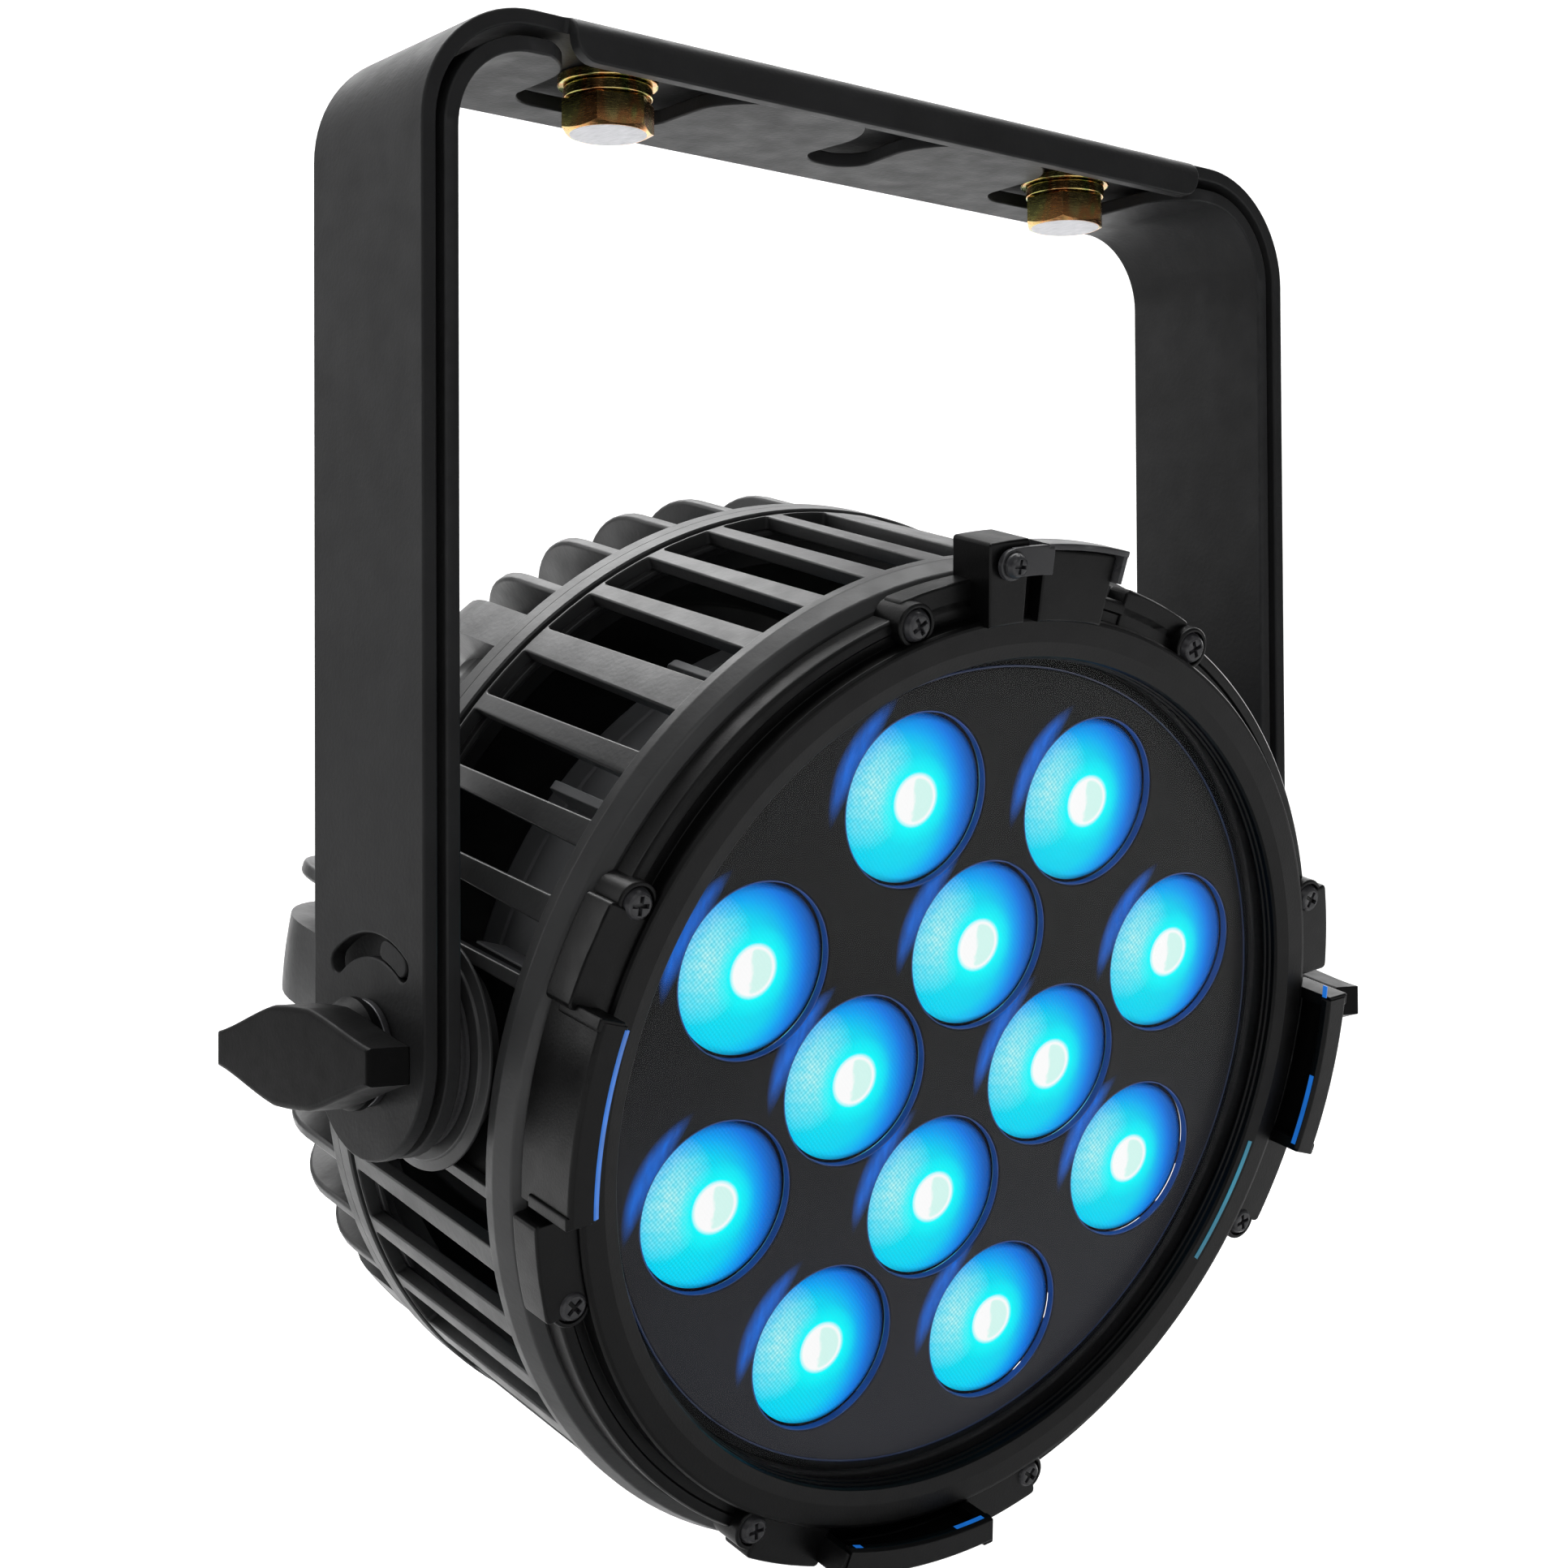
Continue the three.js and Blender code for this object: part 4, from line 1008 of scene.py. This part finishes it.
def bezel():
    rim = turned([(104.3, 36.3, 0.2), (115.2, 36.3, 0.3), (115.2, 42.6, 1.1), (112.4, 42.6, 0.3),
        (112.0, 42.0, 0.2), (109.6, 42.0, 0.3), (109.6, 46.2, 0.3), (109.1, 46.9, 0.3), (108.4, 47.0, 0.4),
        (103.6, 46.9, 0.5), (100.2, 46.2, 0.3), (99.8, 45.5, 0.2), (99.8, 44.4, 0.15), (99.4, 44.1, 0.1),
        (99.4, 43.2, 0.1), (99.0, 42.9, 0.1), (99.0, 42.3, 0.1), (104.3, 42.3, 0.2)], 0.2, 240, 3)
    parts = [rim]
    for x, y in SCREW_PLACES:
        boss = turned([(2.5, 36.3), (5.0, 36.3), (5.0, 45.4, 0.8), (3.9, 45.4, 0.3), (3.9, 44.2, 0.2),
            (2.5, 44.2)], 0.2, 40, 3)
        parts.append(moved(boss, x, y))
    hook = rounded([(108.6, 36.4), (117.4, 36.4, 0.4), (117.4, 54.2, 1.0), (116.6, 55.0, 0.5),
        (111.2, 55.0, 0.6), (110.5, 54.2, 0.4), (110.5, 52.4, 0.4), (114.8, 52.3, 0.6), (114.8, 42.6, 0.6),
        (108.6, 42.6, 0.2)], 0.3, 3)
    for angle in (0, 90, 180, 270):
        for start, end in ((-22.5, -11.2), (11.2, 22.5)):
            outer, front = (119.6, 45.6) if angle else (118.4, 42.6)
            parts.append(sector_slab(108.5, outer, angle + start, angle + end, 36.4, front, 0.7, 1.2))
        if angle:
            first, last = angle - HOOK_REACH[angle][0], angle + HOOK_REACH[angle][1]
            parts.append(arc_piece(hook, first, last, 24))
            for start, end in ((first - 0.4, first + 1.1), (last - 1.1, last + 0.4)):
                parts.append(sector_slab(111.6, 118.0, start, end, 40.0, 54.6, 0.5, 0.8))
    parts.append(sector_slab(108.6, 127.4, -12.8, -7.5, 36.4, 48.9, 0.6, 0.8))
    parts.append(sector_slab(108.6, 122.4, -7.8, -5.0, 36.4, 45.0, 0.4, 0.4))
    parts.append(sector_slab(108.6, 124.6, -5.3, 4.9, 36.4, 49.0, 0.6, 0.8))
    return join(*parts)


def lit_edges():
    """Thin strips on the holders' edges and the rim, painted with a reflection of the lenses' blue light.
    """
    hook = [(110.4, 54.2), (110.7, 54.2), (111.7, 55.06), (111.3, 55.16), (110.4, 54.9)]
    lines = [arc_piece(hook, 260.4, 281.2, 20)]
    under = oblong(110.42, 110.7, 52.7, 54.0)
    for start, end, count in ((91.5, 101.0, 12), (79.0, 80.6, 3), (169.5, 174.0, 6), (189.4, 190.6, 3)):
        lines.append(arc_piece(under, start, end, count))
    lines.append(arc_piece(oblong(109.12, 109.5, 46.95, 47.12), -4.5, 2.0, 8))
    arc = arc_piece([(101.6, 46.55), (102.7, 46.78), (102.7, 46.9), (101.6, 46.67)], 102.5, 121, 16)
    return join(*lines), join(arc)


def pan_screw(head, height, shank, length):
    """A cross-recessed pan-head screw: its head sits on z = 0, and its shank goes down."""
    inner, deep = head * 0.7, 1.1
    dome = [(head, 0.0, 0.1), (head, height * 0.35, 0.4), (head * 0.82, height * 0.85, 0.5),
        (inner, height)]
    body = lathe([(0, -length), (shank, -length + 0.4), (shank, 0)] + rounded(dome, 0.2, 3, closed=False)
                 + [(inner, height - deep), (0, height - deep)], 40)
    arm, half = head * 0.56, head * 0.13
    quarter = [(half, half), (half, arm), (-half, arm)]
    cross = []
    for c, s in ((1, 0), (0, 1), (-1, 0), (0, -1)):
        cross += [(c * x - s * y, s * x + c * y) for x, y in quarter]
    cap = slab([circle(inner, sides=40), cross[::-1]], deep, 0.12, 2)
    return join(body, moved(cap, z=height))


def latch():
    """A thin strip over the top holder, its end turned down, and the eye that it hinges on."""
    strip = rounded(oblong(124.75, 126.2, 43.5, 50.8), 0.35, 3)
    eye = turned(oblong(2.1, 3.5, 49.4, 50.8), 0.25, 40)
    return join(arc_piece(strip, -5.7, 5.7, 12),
                sector_slab(118.6, 126.0, 5.1, 5.7, 43.6, 50.7, 0.2, 0.3),
                sector_slab(119.4, 126.0, -10.4, -4.8, 49.4, 50.8, 0.3, 0.6),
                moved(eye, *LATCH_SCREW))


def bezel_pieces():
    on_head(bezel(), "bezel", BEZEL, "bezel_plastic", "front_bezel", sharp=30)
    # Painted reflections: glowing strips on the holders' edges and the bezel rim.
    lines, arcs = lit_edges()
    on_head(lines, "holder_glow", EDGE_GLOW, "bezel_plastic", sharp=30)
    on_head(arcs, "rim_glow", CYAN_GLOW, "bezel_plastic", sharp=30)
    screw = None
    for i, (x, y) in enumerate(SCREW_PLACES):
        at = HEAD @ shift(x, y, 44.2) @ Matrix.Rotation(0.5 + 0.7 * i, 4, "Z")
        name = "bezel_screw_head_%d" % (i + 1)
        if screw:
            piece = placed(name, screw.data, at)
        else:
            piece = screw = finish(pan_screw(3.6, 2.2, 2.0, 7.0), name, BLACK_STEEL, at)
        place_all(piece, "head", "black_steel", "bezel_screw_%d" % (i + 1))
    show(latch(), "latch_strip", BLACK_STEEL, "latch", "black_steel", "accessory_latch", at=HEAD, sharp=30)
    at = HEAD @ shift(*LATCH_SCREW, 51.1)
    show(pan_screw(2.8, 1.9, 1.6, 8.5), "latch_screw_head", BLACK_STEEL, "head", "steel", "latch_screw",
        at=at)


# ---- optics ----

def lens():
    profile = [(0, 17.0), (6.5, 17.0), (9.0, 20.0), (19.2, 33.6), (19.4, 36.4), (19.1, 36.9)]
    top = [(18.0, 37.12), (15.0, 37.45), (12.0, 37.7), (9.0, 37.88), (6.3, 37.98), (5.95, 37.86),
        (5.6, 38.0), (4.9, 38.05), (4.5, 37.9), (2.0, 37.95), (0, 37.96)]
    return lathe(profile + top, 96)


def optics_pieces():
    plate_material = lens_plate_material("lens_plate_gloss", LENS_PLACES)
    rim = [circle(96.2, sides=160)] + [circle(20.3, x, y, 72, hole=True) for x, y in LENS_PLACES]
    plate = moved(slab(rim, 2.2, 0.45, 3), z=38.6)
    on_head(plate, "lens_plate_face", plate_material, "lens_plate_plastic", "lens_plate")
    # Painted shade: the plate's lower step and the gaps round the lenses are drawn near-black.
    edge = turned(oblong(96.0, 98.9, 36.6, 37.8), 0.2, 160)
    gap = oblong(19.3, 20.2, 34.6, 36.3)
    gaps = [moved(lathe(gap, 72), x, y) for x, y in LENS_PLACES]
    on_head(join(edge, *gaps), "lens_plate_edge", RECESS_SHADE, "lens_plate_plastic")
    # Painted reflection: a faint blue line at the plate's edge.
    line = lathe(oblong(96.25, 96.5, 37.8, 38.5), 160)
    on_head(line, "lens_plate_line", FAINT_GLOW, "lens_plate_plastic")
    first = None
    for i, (x, y) in enumerate(LENS_PLACES):
        at = HEAD @ shift(x, y, 0)
        body_name, rim_name = "lens_body_%02d" % (i + 1), "lens_rim_%02d" % (i + 1)
        if first:
            piece, ring = placed(body_name, first.data, at), placed(rim_name, first_rim.data, at)
        else:
            piece = first = finish(lens(), body_name, LENS, at, 40)
            # Painted reflection: a thin blue ring glows at each lens's rim.
            rim_profile = oblong(20.04, 20.24, 36.6, 38.3)
            ring = first_rim = finish(lathe(rim_profile, 72), rim_name, RIM_GLOW, at)
        place_all(piece, "head", "lens_blue", "lens_%02d" % (i + 1))
        place_all(ring, "head", "lens_blue")
    pane = turned([(0, 39.0, 0), (104, 39.0), (104, 42.0), (0, 42.0, 0)], 0.4, 160)
    on_head(pane, "glass_pane", GLASS, "clear_glass", "front_glass")
    seal = turned(oblong(99.6, 104, 36.3, 38.7), 0.6, 120)
    on_head(seal, "glass_seal", RUBBER, "rubber", "glass_gasket")


def inner_pieces():
    base = turned([(0, 13.4, 0), (92, 13.4), (92, 15.0), (0, 15.0, 0)], 0.3, 96)
    emitters = [box(7, 7, 1.6, x, y, 15.8, 0.4) for x, y in LENS_PLACES]
    on_head(join(base, *emitters), "emitter_board", BOARD_WHITE, "board_white", "led_board")
    disc = turned([(0, 8, 0), (104, 8), (104, 13, 0.8), (0, 13, 0)], 0.5, 128)
    rib = rounded([(93.5, -17.2), (102.5, -17.2, 2.0), (102.5, 8.5), (93.5, 8.5)], 0.6)
    ribs = copied(moved(upright(rib, 2.4, 0.3, 3), turn=radians(11.25)), 16, radians(22.5))
    on_head(join(disc, ribs), "sink_plate", CAN_COAT, "bare_aluminium", "heat_sink")
    can = turned([(0, -30, 0), (92, -30, 2.0), (92, -22, 0.3), (91.4, -21.6, 0.2), (91.4, -20.4, 0.2),
        (92, -20, 0.3), (92, 2.0, 0.3), (94.5, 2.6, 0.4), (94.5, 7.6, 0.4), (89, 7.6, 0.4), (89, -27, 0.5),
        (0, -27, 0)], 0.3, 128, 3)
    on_head(can, "driver_can", CAN_COAT, "bare_aluminium", "driver_housing")
    parts = [box(120, 76, 1.6, 0, 0, -20, 0.2)]
    parts.append(moved(turned([(0, -19), (13, -19), (13, -2, 2.5), (0, -2, 0)], 0.5, 40), -34, 12))
    parts.append(moved(turned([(0, -19), (8, -19), (8, -1, 0.8), (0, -1, 0)], 0.4, 40), 0, 20))
    parts.append(box(30, 20, 5.6, 36, -12, -16.8, 0.5))
    on_head(join(*parts), "driver_card", BOARD_GREEN, "board_green", "driver_board")


# ---- rear ----

def fin_outline():
    points = [(63.0, -83.5), (63.0, -86.0), (65.0, -88.0)]
    for k in range(13):
        a = -QUARTER + QUARTER * k / 12
        points.append((92 + 27 * cos(a), -61 + 27 * sin(a)))
    return points + [(119.0, -43.4), (108.5, -43.4), (108.5, -62.0), (90.0, -83.0)]


def rear_cover():
    front = -40.3
    bowl = turned([(BODY, front + 0.1, 0.05), (106, front + 0.1, 0.2), (106, -62, 1.0), (88, -80, 1.5),
        (0, -80, 0), (0, -84, 0), (90, -84, 2.5), (105, -74, 4.0), (110, -62, 3.0), (110, -44.6, 0.5),
        (BODY - 0.6, -44.3, 0.8), (BODY, -43.6, 0.4)], 0.4, 192, 4)
    parts = [bowl]
    outline = fin_outline()
    for angle in [0, 180, 78, 102, 258, 282] + beside_diagonals(0.5, 4):
        parts.append(moved(upright(outline, 3.6, 1.1, 4), turn=around(angle)))
    for middle, half in ((45, 2.6), (135, 2.6), (225, 2.6), (315, 2.6), (90, 4.5), (270, 4.5)):
        parts.append(arc_piece(outline, middle - half, middle + half, 6))
    plinth = turned([(0, -83, 0), (63.4, -83, 0), (63.4, -84.1, 0.6), (62.2, -84.15, 0.2), (0, -84.15, 0)],
        0.2, 120, 3)
    return join(*parts, plinth)


def panel_slab(width, height, thick, corner, holes=(), bevel=0.5):
    """A plate on z = 0 with round corners."""
    w, h = width / 2, height / 2
    outline = rounded(oblong(-w, w, -h, h), corner, 6)
    return moved(slab([outline, *holes], thick, bevel), z=thick)


BUTTON_X = (-30, -10, 10, 30)
PANEL_V, BUTTON_V, DISPLAY_V = 26, 16, 33  # their heights above the middle of the rear


def control_panel():
    window = rounded([(-26.3, 25.2), (-26.3, 40.8), (26.3, 40.8), (26.3, 25.2)], 1.6, 5)
    holes = [[(x, y - PANEL_V) for x, y in window]]
    holes += [circle(4.5, x, BUTTON_V - PANEL_V, 36, hole=True) for x in BUTTON_X]
    face = panel_slab(84, 36, 3, 5, holes, 0.6)
    floor = moved(panel_slab(54, 17.4, 1.9, 1.0), y=DISPLAY_V - PANEL_V)
    screws = []
    for x in (-38.4, 38.4):
        for y in (-14.4, 14.4):
            head = turned([(0, 2.9, 0), (1.9, 2.9), (1.9, 3.6, 0.4), (0, 3.9, 0)], 0.2, 24)
            screws.append(moved(head, x, y))
    above = BUTTON_V - PANEL_V + 6.6
    marks = [box(3.0 + i, 0.5, 0.16, x, above, 3.06, 0.1) for i, x in enumerate(BUTTON_X)]
    return moved(join(face, floor, *screws, *marks), y=PANEL_V)


def button():
    return turned([(0, 1.6, 0), (4.2, 1.6), (4.2, 4.8, 0.7), (3.0, 5.35, 0.4), (2.6, 5.15, 0.3),
        (0, 5.05, 0)], 0.3, 48, 3)


def power_connector():
    """A round locking mains socket in a flange, with three blades set deep inside."""
    shell = turned([(0, 0, 0), (12.4, 0), (12.4, 3.0, 0.6), (11.0, 3.2, 0.3), (11.0, 9.0, 0.3),
        (10.5, 9.4, 0.2), (10.5, 10.6, 0.2), (11.0, 11.0, 0.3), (11.0, 20.0, 0.8), (8.6, 20.0, 0.5),
        (8.6, 6.0), (0, 6.0, 0)], 0.3, 72, 3)
    keys = [moved(box(2.4, 1.2, 12.5, 0, 8.2, 13.4, 0.3), turn=TURN * k / 3 + 0.5) for k in range(3)]
    grips = copied(box(1.4, 0.9, 5.0, 11.1, 0, 15.2, 0.3), 18, HALF_TURN / 9)
    return join(shell, *keys, grips)


def power_contacts():
    return join(*(moved(box(4.4, 0.9, 9.0, 0, 4.4, 10.4, 0.2), turn=TURN * k / 3 - 0.5) for k in range(3)))


def data_connector():
    """A round five-pole control socket with a screw thread outside."""
    threads = []
    for k in range(9):
        h = 5.0 + 1.1 * k
        threads += [(9.0, h), (8.6, h + 0.55)]
    shell = lathe([(0, 0), (12.2, 0), (12.4, 0.3), (12.4, 2.6), (12.0, 3.0), (9.0, 3.1)] + threads
                  + [(9.0, 15.6), (8.7, 16.0), (7.3, 16.0), (7.0, 15.7), (7.0, 6.0), (0, 6.0)], 72)
    return join(shell, box(1.4, 1.4, 8.5, 0, 6.6, 10.4, 0.3))


def data_contacts():
    parts = []
    for k in range(5):
        a = radians(-54 + 72 * k + 36)
        pin = turned([(0, 5.8, 0), (0.75, 5.8), (0.75, 12.4, 0.5), (0, 12.6, 0)], 0.2, 16)
        parts.append(moved(pin, 4.1 * cos(a), 4.1 * sin(a)))
    return join(*parts)


def vent():
    nut = slab([rounded(circle(9.0, sides=6), 0.6)], 3, 0.4)
    cap = turned([(0, 2.6, 0), (6.4, 2.6), (6.4, 5.2, 0.9), (3.2, 6.0, 0.3), (3.0, 5.3, 0.2), (0, 5.3, 0)],
        0.2, 48, 3)
    slots = [moved(box(2.0, 1.0, 1.4, 6.3, 0, 4.0, 0.1), turn=HALF_TURN * k / 4) for k in range(8)]
    return carved(join(moved(nut, z=3), cap), *slots)


def safety_loop():
    """A bent steel bar, bolted down by its two feet."""
    inner, thick = 9.0, 4.0
    path = rounded([(-inner, -0.1), (-inner, 8, 5), (inner, 8, 5), (inner, -0.1)], 5, 8, closed=False)
    outer = rounded([(inner + thick, -0.1), (inner + thick, 8 + thick, 8.5),
        (-inner - thick, 8 + thick, 8.5), (-inner - thick, -0.1)], 8.5, 8, closed=False)
    points = path + outer
    return upright(points if anticlockwise(points) else points[::-1], 5, 0.8, 3)


def rear_pieces():
    # The rear shell uses the housing coat with painted shade: a darker copy.
    on_head(rear_cover(), "rear_shell", HOUSING_SHADED, "housing_coat", "rear_cover", sharp=32)
    show(control_panel(), "panel_face", PANEL, "head", "panel_plastic", "control_panel", at=BACK)
    glass = moved(panel_slab(52, 15, 1.2, 1.5, (), 0.25), y=DISPLAY_V, z=2.3)
    show(glass, "display_pane", SCREEN, "head", "display_plastic", "display_window", at=BACK)
    for name, x in zip(("menu", "down", "up", "enter"), BUTTON_X):
        at = BACK @ shift(x, BUTTON_V, 0)
        show(button(), "button_cap_" + name, RUBBER, "button_" + name, "rubber", "button_" + name, at=at)
    power, data = (power_connector, power_contacts), (data_connector, data_contacts)
    for x, name, (shell, pins) in ((-42, "power_in", power), (-14, "power_out", power),
                                   (14, "data_in", data), (42, "data_out", data)):
        at = BACK @ shift(x, -17, 0)
        show(shell(), name + "_shell", SOCKET, "head", "connector_plastic", name, at=at)
        show(pins(), name + "_contacts", BRASS, "head", "connector_plastic", at=at)
    at = BACK @ shift(0, -46, 0)
    show(vent(), "vent_cap", SOCKET, "head", "connector_plastic", "breather_vent", at=at)
    at = BACK @ shift(0, 54, 0)
    show(safety_loop(), "safety_bar", STEEL, "head", "steel", "safety_loop", at=at)


housing_pieces()
bezel_pieces()
optics_pieces()
inner_pieces()
rear_pieces()


# ---- studio ----

def studio():
    """A pale floor that curves up into a backdrop, painted darker round the object as a soft shadow, soft
    panels above and beside, and a dim sky.
    """
    floor = -0.46
    profile = [(-3.0, 0.0)]
    for k in range(13):
        a = QUARTER * k / 12
        profile.append((2.6 + 1.2 * sin(a), 1.2 - 1.2 * cos(a)))
    profile.append((3.8, 4.0))
    bm = bmesh.new()
    rows = [[bm.verts.new((side * 4.0, y, floor + z)) for side in (-1, 1)] for y, z in profile]
    for low, high in zip(rows, rows[1:]):
        bm.faces.new((low[0], low[1], high[1], high[0]))
    for face in bm.faces:
        face.smooth = True
    bm.transform(Matrix.Rotation(radians(-38.9), 4, "Z"))
    mesh = as_mesh(bm, "backdrop")
    n = Nodes("paper")
    # Painted shadow: the paper is darker near the object, and glows only further away.
    far = n.range(n.length(*n.axes()), 0.25, 0.8, 0.0, 1.0)
    tone = n.mix(far, (0.55, 0.55, 0.55), (0.8, 0.8, 0.8))
    n.set(Base_Color=tone, Roughness=0.95, IOR=1.05)
    n.set(Emission_Strength=n.times(far, 0.42), Emission_Color=(1, 1, 1, 1))
    mesh.materials.append(n.material)
    placed("backdrop", mesh)

    lamp((0.1, 0.35, 1.25), (0, 0.05, -0.2), 1.5, 1.0, 34)
    lamp((-1.1, 0.9, 0.55), (0, 0, -0.2), 0.9, 1.4, 12)
    lamp((1.3, 0.5, 0.3), (0, 0, -0.2), 0.6, 1.6, 8)
    lamp((-0.9, -1.5, 0.9), (0, 0, -0.2), 1.6, 1.2, 9)
    lamp((0.6, 2.2, 2.6), (1.2, 2.6, 0.2), 3.0, 2.0, 100)

    world = bpy.data.worlds.new("sky")
    world.use_nodes = True
    world.node_tree.nodes["Background"].inputs["Color"].default_value = (1, 1, 1, 1)
    world.node_tree.nodes["Background"].inputs["Strength"].default_value = 0.14
    bpy.context.scene.world = world
    bpy.context.scene.view_settings.view_transform = "Standard"


def lamp(place, target, width, height, power):
    """A soft rectangular panel that faces a target."""
    data = bpy.data.lights.new("panel", "AREA")
    data.shape = "RECTANGLE"
    data.size, data.size_y = width, height
    data.energy = power
    obj = placed("panel", data)
    obj.location = place
    away = Vector(place) - Vector(target)
    obj.rotation_euler = away.to_track_quat("Z", "Y").to_euler()


studio()
